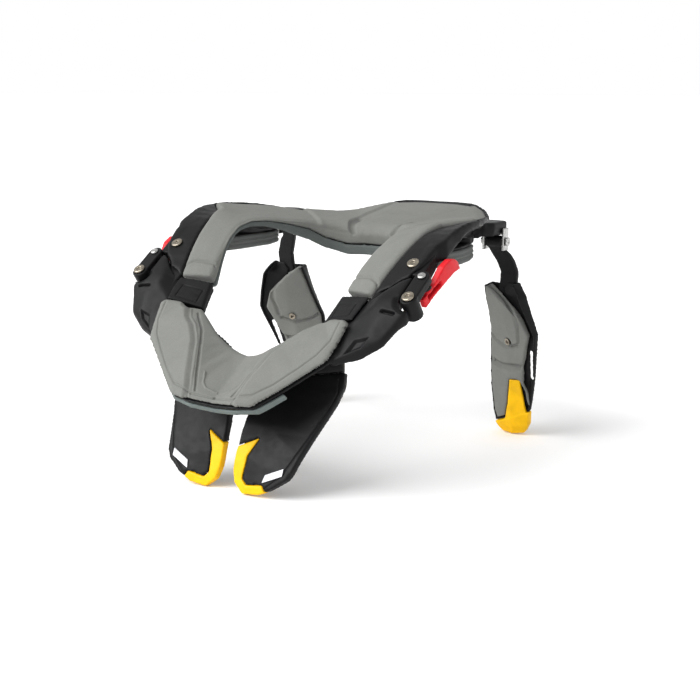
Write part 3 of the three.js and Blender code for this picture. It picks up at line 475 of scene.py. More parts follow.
class Workpiece:
    """A piece of the brace in the making: a mesh with ways to soften, groove and emboss it."""

    def __init__(self, name: str, mesh: bpy.types.Mesh) -> None:
        """Puts the mesh into the scene under the piece's name."""
        self.obj = bpy.data.objects.new(name, mesh)
        bpy.context.scene.collection.objects.link(self.obj)

    @classmethod
    def of_node(cls, node: str) -> "Workpiece":
        """A copy of a CAD node's mesh, named after it.

        Args:
            node: name of the node.

        Returns:
            The workpiece that holds the copy.
        """
        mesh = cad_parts[node].data.copy()
        mesh.materials.clear()
        return cls(f"{node}_dressed", mesh)

    def points(self) -> np.ndarray:
        """Vertex places, one row each.

        Returns:
            An array of places in metres.
        """
        co = np.empty(len(self.obj.data.vertices) * 3, np.float32)
        self.obj.data.vertices.foreach_get("co", co)
        return co.reshape(-1, 3).astype(float)

    def put(self, co: np.ndarray) -> None:
        """Moves the vertices."""
        self.obj.data.vertices.foreach_set("co", co.astype(np.float32).ravel())
        self.obj.data.update()

    def normals(self) -> np.ndarray:
        """Vertex normals, one row each.

        Returns:
            An array of unit vectors.
        """
        n = np.empty(len(self.obj.data.vertices) * 3, np.float32)
        self.obj.data.vertex_normals.foreach_get("vector", n)
        return n.reshape(-1, 3).astype(float)

    def evaluated(self) -> None:
        """Bakes the object's modifiers into its mesh."""
        graph = bpy.context.evaluated_depsgraph_get()
        mesh = bpy.data.meshes.new_from_object(self.obj.evaluated_get(graph))
        self.obj.modifiers.clear()
        self.obj.data = mesh

    def soften(self, voxel: float, passes: int) -> "Workpiece":
        """Remeshes the piece evenly and rounds its edges.

        Args:
            voxel: edge of the new faces, in metres.
            passes: how often each vertex moves towards its neighbours.

        Returns:
            The workpiece.
        """
        remesh = self.obj.modifiers.new("even", "REMESH")
        remesh.mode = "VOXEL"
        remesh.voxel_size = voxel
        self.evaluated()
        return self.relax(passes)

    def relax(self, passes: int, weight: np.ndarray | None = None) -> "Workpiece":
        """Moves each vertex halfway to the mean of its neighbours, several times.

        Args:
            passes: how often.
            weight: share of the move for each vertex, all of it if left out.

        Returns:
            The workpiece.
        """
        mesh = self.obj.data
        edges = np.empty(len(mesh.edges) * 2, np.int32)
        mesh.edges.foreach_get("vertices", edges)
        a, b = edges.reshape(-1, 2).T
        co = self.points()
        count = np.bincount(a, minlength=len(co)) + np.bincount(b, minlength=len(co))
        for _ in range(passes):
            mean = np.stack(
                [
                    np.bincount(a, co[b, k], len(co)) + np.bincount(b, co[a, k], len(co))
                    for k in range(3)
                ],
                1,
            ) / np.maximum(count, 1)[:, None]
            step = 0.5 * (mean - co)
            co = co + (step if weight is None else step * weight[:, None])
        self.put(co)
        return self

    def flattened(
        self, path: Sequence[Point], along: Point, mirror: Side
    ) -> tuple[np.ndarray, np.ndarray, np.ndarray]:
        """The vertices and a path seen along a direction.

        Args:
            path: points in millimetres, on the wearer's left.
            along: direction that the view looks against.
            mirror: side of the wearer that the path is wanted on.

        Returns:
            Flat vertex places, flat path points, and how far each vertex faces the view.
        """
        sign = mirror.value
        axis = Vector((along[0] * sign, along[1], along[2])).normalized()
        right = axis.orthogonal().normalized()
        above = axis.cross(right)
        basis = np.array([list(right), list(above)]).T
        line = np.array([list(place(x * sign, y, z)) for x, y, z in path]) @ basis
        facing = smooth(self.normals() @ np.array(list(axis)), 0.15, 0.45)
        return self.points() @ basis, line, facing

    @staticmethod
    def away(flat: np.ndarray, line: np.ndarray, closed: bool = False) -> np.ndarray:
        """Distance of flat points from a broken line.

        Args:
            flat: flat places.
            line: corners of the line.
            closed: whether the line is a loop.

        Returns:
            The distance of each point.
        """
        nearest = np.full(len(flat), 1e9)
        ends = range(len(line) if closed else len(line) - 1)
        for k in ends:
            a, b = line[k], line[(k + 1) % len(line)]
            d = b - a
            t = np.clip(((flat - a) @ d) / max(float(d @ d), 1e-12), 0, 1)
            nearest = np.minimum(nearest, np.linalg.norm(flat - a - t[:, None] * d, axis=1))
        return nearest

    @staticmethod
    def along(flat: np.ndarray, line: np.ndarray) -> tuple[np.ndarray, np.ndarray]:
        """Where each flat point lies along a broken line, in corners, and how far from it.

        Args:
            flat: flat places.
            line: corners of the line.

        Returns:
            The place along the line and the distance of each point.
        """
        best, share = np.full(len(flat), 1e9), np.zeros(len(flat))
        for k in range(len(line) - 1):
            d = line[k + 1] - line[k]
            t = np.clip(((flat - line[k]) @ d) / float(d @ d), 0, 1)
            gap = np.linalg.norm(flat - line[k] - t[:, None] * d, axis=1)
            closer = gap < best
            best, share = np.where(closer, gap, best), np.where(closer, k + t, share)
        return share, best

    def refine(
        self, path: Sequence[Point], along: Point, reach: float, side: Side, closed: bool = False
    ) -> None:
        """Halves the faces near a path, so that a crisp line can be pressed there.

        Args:
            path: points in millimetres, on the wearer's left.
            along: direction that the view of the path looks against.
            reach: how far from the path, in millimetres.
            side: side of the wearer that gets it.
            closed: whether the path is a loop.
        """
        flat, line, facing = self.flattened(path, along, side)
        near = (self.away(flat, line, closed) < reach / 1000) & (facing > 0.2)
        bm = bmesh.new()
        bm.from_mesh(self.obj.data)
        edges = [e for e in bm.edges if near[e.verts[0].index] and near[e.verts[1].index]]
        bmesh.ops.subdivide_edges(bm, edges=edges, cuts=1, use_grid_fill=True)
        bm.to_mesh(self.obj.data)
        bm.free()

    def groove(
        self, path: Sequence[Point], along: Point, width: float, depth: float,
        side: Side = Side.LEFT, closed: bool = False,
    ) -> "Workpiece":
        """Presses a round-bottomed line into the surface, or raises a bead where depth is negative.

        Args:
            path: points in millimetres, on the wearer's left.
            along: direction that the view of the path looks against.
            width: width of the line in millimetres.
            depth: depth in millimetres.
            side: side of the wearer that gets it.
            closed: whether the path is a loop.

        Returns:
            The workpiece.
        """
        self.refine(path, along, width * 1.3, side, closed)
        flat, line, facing = self.flattened(path, along, side)
        share = self.away(flat, line, closed) / (width / 2000)
        fall = smooth(share, 1.0, 0.0) if width > 3 else smooth(share, 1.15, 0.1)
        self.put(self.points() - self.normals() * (fall * facing * depth / 1000)[:, None])
        return self

    def inside(self, flat: np.ndarray, outline: np.ndarray) -> np.ndarray:
        """Signed distance from an outline, positive inside it.

        Args:
            flat: flat places.
            outline: corners of the outline.

        Returns:
            The signed distance of each point.
        """
        within = np.zeros(len(flat), bool)
        for k in range(len(outline)):
            a, b = outline[k], outline[(k + 1) % len(outline)]
            crosses = (a[1] > flat[:, 1]) != (b[1] > flat[:, 1])
            rise = b[1] - a[1] if abs(b[1] - a[1]) > 1e-12 else 1e-12
            at = a[0] + (flat[:, 1] - a[1]) / rise * (b[0] - a[0])
            within ^= crosses & (flat[:, 0] < at)
        return np.where(within, 1, -1) * self.away(flat, outline, True)

    def panel(
        self, outline: Sequence[Point], along: Point, edge: float, height: float,
        side: Side = Side.LEFT,
    ) -> "Workpiece":
        """Raises the surface inside an outline, or sinks it where height is negative.

        Args:
            outline: corners in millimetres, on the wearer's left.
            along: direction that the view of the outline looks against.
            edge: width of the slope inside the outline, in millimetres.
            height: how far it rises, in millimetres.
            side: side of the wearer that gets it.

        Returns:
            The workpiece.
        """
        self.refine(outline, along, edge + 1.2, side, True)
        flat, line, facing = self.flattened(outline, along, side)
        share = smooth(self.inside(flat, line), 0, edge / 1000)
        self.put(self.points() + self.normals() * (share * facing * height / 1000)[:, None])
        return self

    def swell(self, growth: float) -> "Workpiece":
        """Moves the surface outward by so many millimetres."""
        self.put(self.points() + self.normals() * growth / 1000)
        return self

    def shift(self, move: Callable[[np.ndarray, np.ndarray], np.ndarray]) -> "Workpiece":
        """Moves the vertices by a function of their places and normals."""
        self.put(self.points() + move(self.points(), self.normals()))
        return self

    def thin(self) -> None:
        """Collapses the flattest faces of a large mesh, so that the whole brace stays light to draw."""
        count = sum(len(face.vertices) - 2 for face in self.obj.data.polygons)
        if count > SMALL_PIECE:
            thinner = self.obj.modifiers.new("thinner", "DECIMATE")
            thinner.ratio = min(KEPT_SHARE, MOST_TRIANGLES / count)
            self.evaluated()

    def finish(self, body: str, slot: Slot, finishes: Finishes, *nodes: str) -> bpy.types.Object:
        """Dresses the piece and ties it to its CAD body and nodes.

        Args:
            body: CAD body that it rides on.
            slot: material slot of its finish.
            finishes: where the material comes from.
            nodes: CAD nodes that it stands for.

        Returns:
            The finished object.
        """
        self.thin()
        self.obj.data.polygons.foreach_set("use_smooth", [True] * len(self.obj.data.polygons))
        self.obj.data.materials.clear()
        self.obj.data.materials.append(finishes.of(slot))
        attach(self.obj, body)
        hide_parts(*nodes)
        log.info("%s: %d faces on %s", self.obj.name, len(self.obj.data.polygons), body)
        return self.obj


def lathe(profile: Sequence[tuple[float, float]], lobes: int, sides: int) -> bpy.types.Mesh:
    """A turned body whose recess has lobes.

    Args:
        profile: radius and height of each ring, in millimetres, from the recess's floor out and round
            to the middle of the underside; a negative radius marks a ring of the recess.
        lobes: lobes of the recess.
        sides: points of each ring.

    Returns:
        The closed mesh, its axis along Z.
    """
    rings, faces = [], []
    for radius, height in profile:
        for k in range(sides):
            turn = 2 * math.pi * k / sides
            r = abs(radius) * (1 + 0.16 * math.cos(lobes * turn)) if radius < 0 else radius
            rings.append((r / 1000 * math.cos(turn), r / 1000 * math.sin(turn), height / 1000))
    for n in range(len(profile) - 1):
        for k in range(sides):
            a, b = n * sides + k, n * sides + (k + 1) % sides
            faces.append((b, a, a + sides, b + sides))
    faces.append(tuple(range(sides)))
    last = (len(profile) - 1) * sides
    faces.append(tuple(last + k for k in reversed(range(sides))))
    mesh = bpy.data.meshes.new("turned")
    mesh.from_pydata(rings, [], faces)
    bm = bmesh.new()
    bm.from_mesh(mesh)
    bmesh.ops.recalc_face_normals(bm, faces=bm.faces)
    bm.to_mesh(mesh)
    bm.free()
    return mesh


def standing(mesh: bpy.types.Mesh, foot: Vector, axis: Vector) -> bpy.types.Mesh:
    """The mesh moved so that its Z axis stands on a point along a direction.

    Args:
        mesh: mesh with its axis along Z.
        foot: where its origin goes.
        axis: where its Z axis points.

    Returns:
        The same mesh.
    """
    turn = axis.to_track_quat("Z", "Y").to_matrix().to_4x4()
    mesh.transform(Matrix.Translation(foot) @ turn)
    return mesh


# The ring


@dataclass
class RearHalf:
    """Arms and rear table: foam on top, soft lining on the neck side, black shell outside."""

    finishes: Finishes
    foam_voxel: float = 0.0011
    shell_voxel: float = 0.0013
    lip: float = 1.5
    crease: float = 2.0
    panel_step: float = 2.0
    corner_rise: float = 3.0
    rim_drop: float = 5.0
    rim_tuck: float = 3.2
    hollow: float = 11.0
    cover: float = 3.0
    rim_rise: float = 2.5
    body: str = "rear_half"

    UP: Point = (0.0, -0.1, 1.0)
    ARM_END = [(70.5, 25.0, 170.0), (90.0, 21.5, 170.0), (99.0, 17.0, 168.0)]
    SIDE_PANEL = [
        (20.0, 160.0, 185.0), (29.0, 178.0, 194.0), (35.0, 217.0, 198.0), (41.0, 290.0, 206.0),
        (150.0, 290.0, 206.0), (130.0, 205.0, 200.0), (84.0, 178.0, 199.0), (60.0, 156.0, 197.0),
        (46.0, 146.0, 190.0),
    ]
    NECK_EDGE = [
        (69.0, 16.0, 160.0, 11.2, 19.5, 4.0, 9.0), (72.0, 32.0, 176.0, 11.2, 19.5, 2.5, 7.5),
        (76.0, 51.0, 190.0, 11.2, 19.5, 2.0, 7.0), (78.0, 67.0, 198.0, 11.2, 19.5, 2.0, 7.0),
        (76.0, 84.0, 202.0, 11.2, 19.5, 2.0, 7.0), (70.0, 102.0, 202.0, 11.7, 20.4, 2.5, 7.5),
        (63.0, 122.0, 199.0, 12.8, 22.3, 3.5, 9.5), (55.0, 143.0, 197.0, 13.9, 24.2, 7.5, 17.0),
        (44.0, 156.0, 195.0, 15.0, 26.2, 15.0, 24.0), (28.0, 164.0, 194.0, 15.6, 27.0, 19.0, 28.0),
        (0.0, 168.0, 194.0, 15.6, 27.0, 19.5, 28.5),
    ]
    FOAM_EDGE = [
        (115.0, 72.0, 206.0), (116.0, 84.0, 208.0), (117.0, 105.0, 208.0), (112.0, 132.0, 208.0),
        (101.0, 160.0, 206.0), (90.0, 182.0, 202.0), (78.0, 211.0, 199.0), (71.0, 252.0, 198.0),
    ]
    EDGE_REACH = [
        (87.0, 0.0), (104.0, 19.0), (118.0, 20.0), (135.0, 17.5), (160.0, 12.5), (182.0, 6.0),
        (210.0, 2.0),
    ]
    EDGE_LEAN = (0.98, 0.12, 0.16)
    EDGE_FADE = (24.0, 2.0)
    CORNER = Stretch(88.0, 0.0, 40.0)
    NECK_REACH = (24.0, 9.0)
    NECK_START = (22.0, 46.0)
    COVERED = (-2.0, 2.0)
    COVERED_SIDE = (85.0, 100.0)
    COVERED_TOP = (190.0, 202.0)
    COVERED_REACH = (0.0, 8.0)
    SLIT = (Stretch(125.0, 2.0, 2.0), Stretch(195.0, 4.0, 2.0))
    SLIT_START = (76.0, 82.0)
    SLIT_END = (150.0, 140.0)
    BRIDGE = (Stretch(105.0, 16.0, 2.0), Stretch(180.0, 20.0, 2.0), Stretch(194.2, 0.6, 0.6))
    RIM_FRONT = Stretch(36.0, 12.0, 10.0)
    RIM_SIDE = (122.0, 132.0)
    RIM_TOP = (168.0, 176.0)
    TABLE_START = (200.0, 235.0)

    def build(self) -> list[bpy.types.Object]:
        """Makes the pad, the lining, the shell and the foam under the arms."""
        return [self.pad(), self.lining(), self.shell(), *map(self.shoulder, Side)]

    def pad(self) -> bpy.types.Object:
        """The foam, with a lip at each arm's end and the raised panels of the rear table.

        Returns:
            The finished piece.
        """
        work = Workpiece.of_node("rear_pad").soften(self.foam_voxel, 7).swell(0.35)
        work.shift(self.neckline).shift(self.spread)
        for side in Side:
            work.groove(self.ARM_END, self.UP, 4.5, self.lip, side)
            work.panel(self.SIDE_PANEL, self.UP, 5.0, self.panel_step, side)
            work.groove(
                [(20.0, 164.0, 184.0), (25.0, 174.0, 192.0), (29.0, 190.0, 196.0)],
                (0.15, -0.5, 0.85), 9.0, self.crease, side,
            )
        pad = work.finish(self.body, Slot.FOAM, self.finishes, "rear_pad")
        return pad

    def neckline(self, co: np.ndarray, normal: np.ndarray) -> np.ndarray:
        """Thins the ring's neck side along the arms and deepens it behind the neck.

        Args:
            co: places of the vertices.
            normal: their normals, not used.

        Returns:
            The move of each vertex.
        """
        y = co[:, 1] - HINGE_LINE_Y
        edge = np.array([point[:2] for point in self.NECK_EDGE]) / 1000
        share, gap = Workpiece.along(np.stack([abs(co[:, 0]), y], 1), edge)
        marks = np.arange(len(self.NECK_EDGE))
        top, seam, foot, new_seam, new_foot = (
            np.interp(share, marks, column) / 1000 for column in zip(*(point[2:] for point in self.NECK_EDGE))
        )
        depth = top + FLOOR_RISE - co[:, 2]
        upper = depth * new_seam / seam
        lower = new_seam + (depth - seam) * (new_foot - new_seam) / (foot - seam)
        wanted = np.where(depth < 0, depth, np.where(depth < seam, upper, lower))
        rise = (depth - wanted) * between(gap, *self.NECK_REACH) * between(y, *self.NECK_START)
        return np.stack([np.zeros(len(co)), np.zeros(len(co)), rise], 1)

    def reach(self, y: np.ndarray) -> np.ndarray:
        """How far the foam covers the rim at a distance behind the hinge line, in metres."""
        along, out = zip(*self.EDGE_REACH)
        return np.interp(y * 1000, along, out, left=0, right=0) / 1000

    def spread(self, co: np.ndarray, normal: np.ndarray) -> np.ndarray:
        """Carries the foam's outer edge over the rim behind the corner of each arm.

        Args:
            co: places of the vertices.
            normal: their normals, not used.

        Returns:
            The move of each vertex.
        """
        y = co[:, 1] - HINGE_LINE_Y
        flat = np.stack([abs(co[:, 0]), y], 1)
        edge = np.array([[a / 1000, b / 1000] for a, b, _ in self.FOAM_EDGE])
        near = between(Workpiece.away(flat, edge), *self.EDGE_FADE)
        out = self.reach(y) * near
        corner = self.CORNER.share(y) * near * self.corner_rise / 1000
        outward, backward, upward = self.EDGE_LEAN
        return np.stack([np.sign(co[:, 0]) * out * outward, out * backward, out * upward + corner], 1)

    def lining(self) -> bpy.types.Object:
        """The soft lining on the neck side.

        Returns:
            The finished piece.
        """
        work = Workpiece.of_node("rear_lining").soften(self.foam_voxel, 6).swell(0.6).shift(self.neckline)
        lining = work.finish(self.body, Slot.LINING, self.finishes, "rear_lining")
        return lining

    def shell(self) -> bpy.types.Object:
        """The black shell, left plain beside the arms.

        Returns:
            The finished piece.
        """
        work = Workpiece.of_node("rear_shell").soften(self.shell_voxel, 5)
        work.shift(self.neckline).shift(self.lowered)
        return work.finish(self.body, Slot.SHELL, self.finishes, "rear_shell")

    def lowered(self, co: np.ndarray, normal: np.ndarray) -> np.ndarray:
        """Sinks the rim under the foam, narrows it beside the lever and lifts it behind the table.

        Args:
            co: places of the vertices.
            normal: their normals.

        Returns:
            The move of each vertex.
        """
        y = co[:, 1] - HINGE_LINE_Y
        flat = np.stack([abs(co[:, 0]), y], 1)
        edge = np.array([[a / 1000, b / 1000] for a, b, _ in self.FOAM_EDGE])
        covered = between(self.reach(y) - Workpiece.away(flat, edge), *self.COVERED)
        beside = between(abs(co[:, 0]), *self.COVERED_SIDE) * between(self.reach(y), *self.COVERED_REACH)
        down = covered * beside * between(co[:, 2], *self.COVERED_TOP) * self.rim_drop / 1000
        slit_out, slit_up = self.SLIT
        hollow = slit_out.share(abs(co[:, 0])) * slit_up.share(co[:, 2])
        hollow = hollow * between(y, *self.SLIT_START) * between(y, *self.SLIT_END)
        out, back, up = self.BRIDGE
        block = out.share(abs(co[:, 0])) * back.share(y) * up.share(co[:, 2])
        down = down + block * self.cover / 1000
        front = self.RIM_FRONT.share(y) * between(abs(co[:, 0]), *self.RIM_SIDE)
        tuck = front * between(co[:, 2], *self.RIM_TOP) * self.rim_tuck / 1000
        inward = tuck + hollow * self.hollow / 1000
        behind = between(y, *self.TABLE_START) * smooth(normal[:, 2], 0.1, 0.5)
        rise = behind * self.rim_rise / 1000 - down
        return np.stack([-np.sign(co[:, 0]) * inward, np.zeros(len(co)), rise], 1)

    def shoulder(self, side: Side) -> bpy.types.Object:
        """The foam under an arm, with two grooves round its side.

        Args:
            side: side of the wearer.

        Returns:
            The finished piece.
        """
        node = side.name_of("shoulder_pad")
        work = Workpiece.of_node(node).soften(0.0012, 6)
        low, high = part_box(node)

        def grooves(co: np.ndarray, normal: np.ndarray) -> np.ndarray:
            """Presses two grooves round the side.

            Args:
                co: places of the vertices.
                normal: their normals.

            Returns:
                The move of each vertex.
            """
            rise = (co[:, 2] - low.z) / (high.z - low.z)
            press = sum(smooth(abs(rise - at), 0.1, 0.0) for at in (0.38, 0.7))
            upright = smooth(abs(normal[:, 2]), 0.7, 0.3)
            return -normal * (press * upright * 0.0011)[:, None]

        # The foam under the arm takes the darker foam finish: painted shade.
        pad = work.shift(grooves).finish(self.body, Slot.FOAM_DARK, self.finishes, node)
        return pad


@dataclass
class FrontHalf:
    """Chest side of the ring: foam table on a black shell, saddles under the arms, a rubber lip."""

    finishes: Finishes
    foam_voxel: float = 0.0008
    shell_voxel: float = 0.001
    step: float = 4.2
    ridge: float = 0.7
    barrel_room: float = 2.2
    lip_flare: float = 3.0
    cheek_passes: int = 24
    body: str = "front_half"

    TILT: Point = (0.0, -0.62, 0.78)
    FOLD = [
        (66.0, -17.0, 137.0), (59.0, -25.0, 132.0), (50.0, -29.5, 126.0), (43.0, -36.0, 119.5),
        (38.0, -42.0, 115.0), (33.5, -50.0, 106.5), (29.0, -58.0, 98.0), (26.0, -64.0, 91.0),
        (23.0, -70.0, 84.0), (20.5, -76.0, 78.0),
    ]
    OUTSIDE = [(60.0, -90.0, 70.0), (105.0, -60.0, 110.0), (120.0, -20.0, 140.0), (100.0, -5.0, 150.0)]
    INNER_LINE = [
        (58.0, -17.0, 134.5), (51.0, -22.5, 129.0), (43.0, -29.0, 122.7), (35.5, -39.0, 114.0),
        (29.0, -50.0, 103.0), (23.0, -61.0, 91.5), (18.5, -69.0, 82.5),
    ]
    BEVEL = [
        (88.5, -18.0, 137.0), (87.5, -28.5, 122.5), (81.0, -38.0, 112.5), (68.0, -47.0, 100.0),
        (53.5, -57.0, 88.5), (39.0, -65.5, 80.0), (20.0, -69.5, 77.5), (0.0, -67.0, 77.0),
    ]
    CENTRE_U = [(20.0, -55.0, 95.0), (16.5, -61.0, 87.5), (12.0, -63.5, 84.0), (0.0, -64.0, 82.0)]
    SADDLE_LINE = [(89.0, 3.0, 151.0), (88.5, -9.0, 144.5), (69.5, -4.5, 140.0), (70.0, 6.5, 147.0)]
    SLOT = [(119.0, -8.5, 151.0), (129.0, -9.5, 150.5)]
    RECESS = [(117.5, -22.7, 133.3), (104.0, -24.7, 129.8), (97.5, -31.5, 116.0), (112.0, -27.5, 124.0)]
    CHEEK_SIDE = (92.0, 102.0)
    LIP_SIDE = (12.0, 50.0)
    BARREL_RING = (14.5, 9.5)
    BARREL_FRONT = (4.0, -1.0)
    BARREL_FOOT = (-24.0, -19.0)

    def build(self) -> list[bpy.types.Object]:
        """Makes the foam table, the shell, the saddles and the lip."""
        return [self.pad(), self.shell(), *map(self.saddle, Side), self.lip()]

    def pad(self) -> bpy.types.Object:
        """The foam table: side panels a step above the middle, fine lines along their folds.

        Returns:
            The finished piece.
        """
        work = Workpiece.of_node("front_pad").soften(self.foam_voxel, 14).swell(0.35)
        for side in Side:
            work.panel([*self.FOLD, *self.OUTSIDE], self.TILT, 5.0, self.step, side)
            work.groove(self.FOLD, self.TILT, 2.8, -self.ridge, side)
            work.groove(self.INNER_LINE, self.TILT, 3.2, 1.5, side)
            work.groove(self.BEVEL, self.TILT, 2.6, 0.9, side)
            work.groove(self.CENTRE_U, self.TILT, 2.2, -0.8, side)
        pad = work.finish(self.body, Slot.FOAM, self.finishes, "front_pad")
        return pad

    def shell(self) -> bpy.types.Object:
        """The black shell with its cheeks round the hinges.

        Returns:
            The finished piece.
        """
        work = Workpiece.of_node("front_shell").soften(self.shell_voxel, 4)
        cheeks = between(abs(work.points()[:, 0]), *self.CHEEK_SIDE)
        work.relax(self.cheek_passes, cheeks).shift(self.round_barrel)
        for side in Side:
            work.panel(self.RECESS, (0.1, -0.75, 0.6), 2.5, -2.4, side)
            work.groove(self.SLOT, (0.1, -0.6, 0.75), 4.5, 3.0, side)
        return work.finish(self.body, Slot.SHELL, self.finishes, "front_shell")

    def flare(self, co: np.ndarray, normal: np.ndarray) -> np.ndarray:
        """Carries the ends of the lip outward, clear of the shell."""
        out = between(abs(co[:, 0]), *self.LIP_SIDE) * self.lip_flare / 1000
        return np.stack([np.sign(co[:, 0]) * out, np.zeros(len(co)), out * 0.4], 1)

    def round_barrel(self, co: np.ndarray, normal: np.ndarray) -> np.ndarray:
        """Sinks the cheek round each barrel, so that the barrel stands out of it.

        Args:
            co: places of the vertices.
            normal: their normals.

        Returns:
            The move of each vertex.
        """
        out, along, up = (np.array(list(axis)) for axis in hinge_axes())
        local = np.stack([abs(co[:, 0]), co[:, 1], co[:, 2]], 1) - np.array(list(place(*HINGE_ORIGIN)))
        u, s, h = local @ out, local @ along, local @ up
        near = between(np.hypot(u, s), *self.BARREL_RING)
        near = near * between(s, *self.BARREL_FRONT) * between(h, *self.BARREL_FOOT)
        return -normal * (near * self.barrel_room / 1000)[:, None]

    def saddle(self, side: Side) -> bpy.types.Object:
        """A saddle between the foam of the arm and of the table, with its inset line.

        Args:
            side: side of the wearer.

        Returns:
            The finished piece.
        """
        node = side.name_of("saddle")
        work = Workpiece.of_node(node).soften(0.0008, 4)
        work.groove(self.SADDLE_LINE, (0.0, -0.55, 0.83), 1.7, 0.6, side, closed=True)
        return work.finish(self.body, Slot.SADDLE, self.finishes, node)

    def lip(self) -> bpy.types.Object:
        """The rubber lip under the table."""
        work = Workpiece.of_node("front_lip_trim").soften(0.0007, 6).shift(self.flare)
        return work.finish(self.body, Slot.RUBBER, self.finishes, "front_lip_trim")


@dataclass
class HingeSet:
    """Link, latch lever and pin on one side, and the two screws beside them."""

    side: Side
    finishes: Finishes
    screw_radius: float = 5.1
    screw_head: float = 1.8
    recess: float = 1.8
    pin_radius: float = 3.4
    pin_shank: float = 2.2
    pin_length: float = 15.8
    link_reach: float = 24.5
    upper_at: tuple[float, float] = (-15.3, 39.3)

    SEAT = [
        (u, s, h)
        for u in (-12.0, -2.5)
        for s, low, high in ((28.0, -16.0, -2.5), (54.0, -13.0, -2.5))
        for h in (low, high)
    ]
    LAP = [
        (u, s, h)
        for u, s in ((-38.0, -6.0), (-38.0, 15.0), (-27.0, 21.0), (-10.0, 23.0), (-10.0, -6.0))
        for h in (-12.5, -7.5)
    ]

    def build(self) -> list[bpy.types.Object]:
        """Makes the hinge's pieces.

        Returns:
            The finished pieces.
        """
        return [
            self.link(), self.lever(), self.pin(),
            self.screw("lower_screw", 0, 0, 0.4),
            self.screw("upper_screw", *self.upper_at, -1.1),
            self.filler("lever_seat", "rear_half", self.SEAT),
            self.filler("cheek_lap", "front_half", self.LAP),
        ]

    def filler(self, base: str, body: str, corners: Sequence[Point]) -> bpy.types.Object:
        """A black web that closes the view between two shells.

        Args:
            base: name of the pair of webs.
            body: CAD body that it rides on.
            corners: its corners in the hinge's frame.

        Returns:
            The web.
        """
        bm = bmesh.new()
        for corner in corners:
            x, y, z = hinge_point(*corner)
            bm.verts.new(place(x * self.side.value, y, z))
        bmesh.ops.convex_hull(bm, input=bm.verts)
        mesh = bpy.data.meshes.new(base)
        bm.to_mesh(mesh)
        bm.free()
        work = Workpiece(self.side.name_of(base), mesh).soften(0.0006, 6)
        return work.finish(body, Slot.SHELL, self.finishes)

    def upright(self, mesh: bpy.types.Mesh, u: float, s: float, h: float) -> bpy.types.Mesh:
        """Stands a turned mesh on a point of the hinge's frame, along the barrel.

        Args:
            mesh: mesh with its axis along Z.
            u: outward from the barrel's axis.
            s: along the arm.
            h: up the barrel.

        Returns:
            The same mesh.
        """
        x, y, z = hinge_point(u, s, h)
        _, _, up = hinge_axes()
        return standing(mesh, place(x * self.side.value, y, z), up)

    def link(self) -> bpy.types.Object:
        """The link with its barrel.

        Returns:
            The finished piece.
        """
        node = self.side.name_of("hinge_link")
        work = Workpiece.of_node(node).soften(0.0005, 4)
        return work.finish("rear_half", Slot.SHELL, self.finishes, node)

    def lever(self) -> bpy.types.Object:
        """The red latch lever.

        Returns:
            The finished piece.
        """
        node = self.side.name_of("latch_lever")
        work = Workpiece.of_node(node).soften(0.0006, 6)
        return work.finish(self.side.name_of("lever"), Slot.LEVER, self.finishes, node)

    def pin(self) -> bpy.types.Object:
        """The polished pin, domed, with a small dimple.

        Returns:
            The finished piece.
        """
        node = self.side.name_of("latch_pin")
        r, shank, foot = self.pin_radius, self.pin_shank, -self.pin_length
        profile = [
            (0.4, 1.35), (0.9, 1.5), (r * 0.5, 1.6), (r * 0.8, 1.45), (r * 0.96, 1.1), (r, 0.7), (r, 0.1),
            (r * 0.95, 0.02), (shank + 0.05, 0.0), (shank, -0.1), (shank, foot + 0.4), (shank - 0.2, foot),
            (0.4, foot),
        ]
        mesh = self.upright(lathe(profile, 1, 48), 0, self.link_reach, 0.4)
        return Workpiece(f"{node}_dressed", mesh).finish("rear_half", Slot.STEEL, self.finishes, node)

    def screw(self, base: str, u: float, s: float, h: float) -> bpy.types.Object:
        """A pan-head screw with a lobed recess.

        Args:
            base: name of the pair of nodes.
            u: outward from the barrel.
            s: along the arm.
            h: height of its seat over the link's top.

        Returns:
            The screw.
        """
        node = self.side.name_of(base)
        r, top, c = self.screw_radius, self.screw_head, self.recess
        profile = [
            (-c * 0.3, top - 1.3), (-c * 0.86, top - 1.25), (-c * 0.97, top - 1.1), (-c, top - 0.25),
            (-c * 1.06, top - 0.06), (c * 1.35, top), (r * 0.78, top), (r * 0.9, top - 0.12),
            (r * 0.97, top - 0.42), (r, top - 0.8), (r, 0.2), (r * 0.97, 0.0), (0.5, 0.0),
        ]
        mesh = self.upright(lathe(profile, 6, 72), u, s, h)
        return Workpiece(f"{node}_dressed", mesh).finish("rear_half", Slot.NICKEL, self.finishes, node)


# The wings


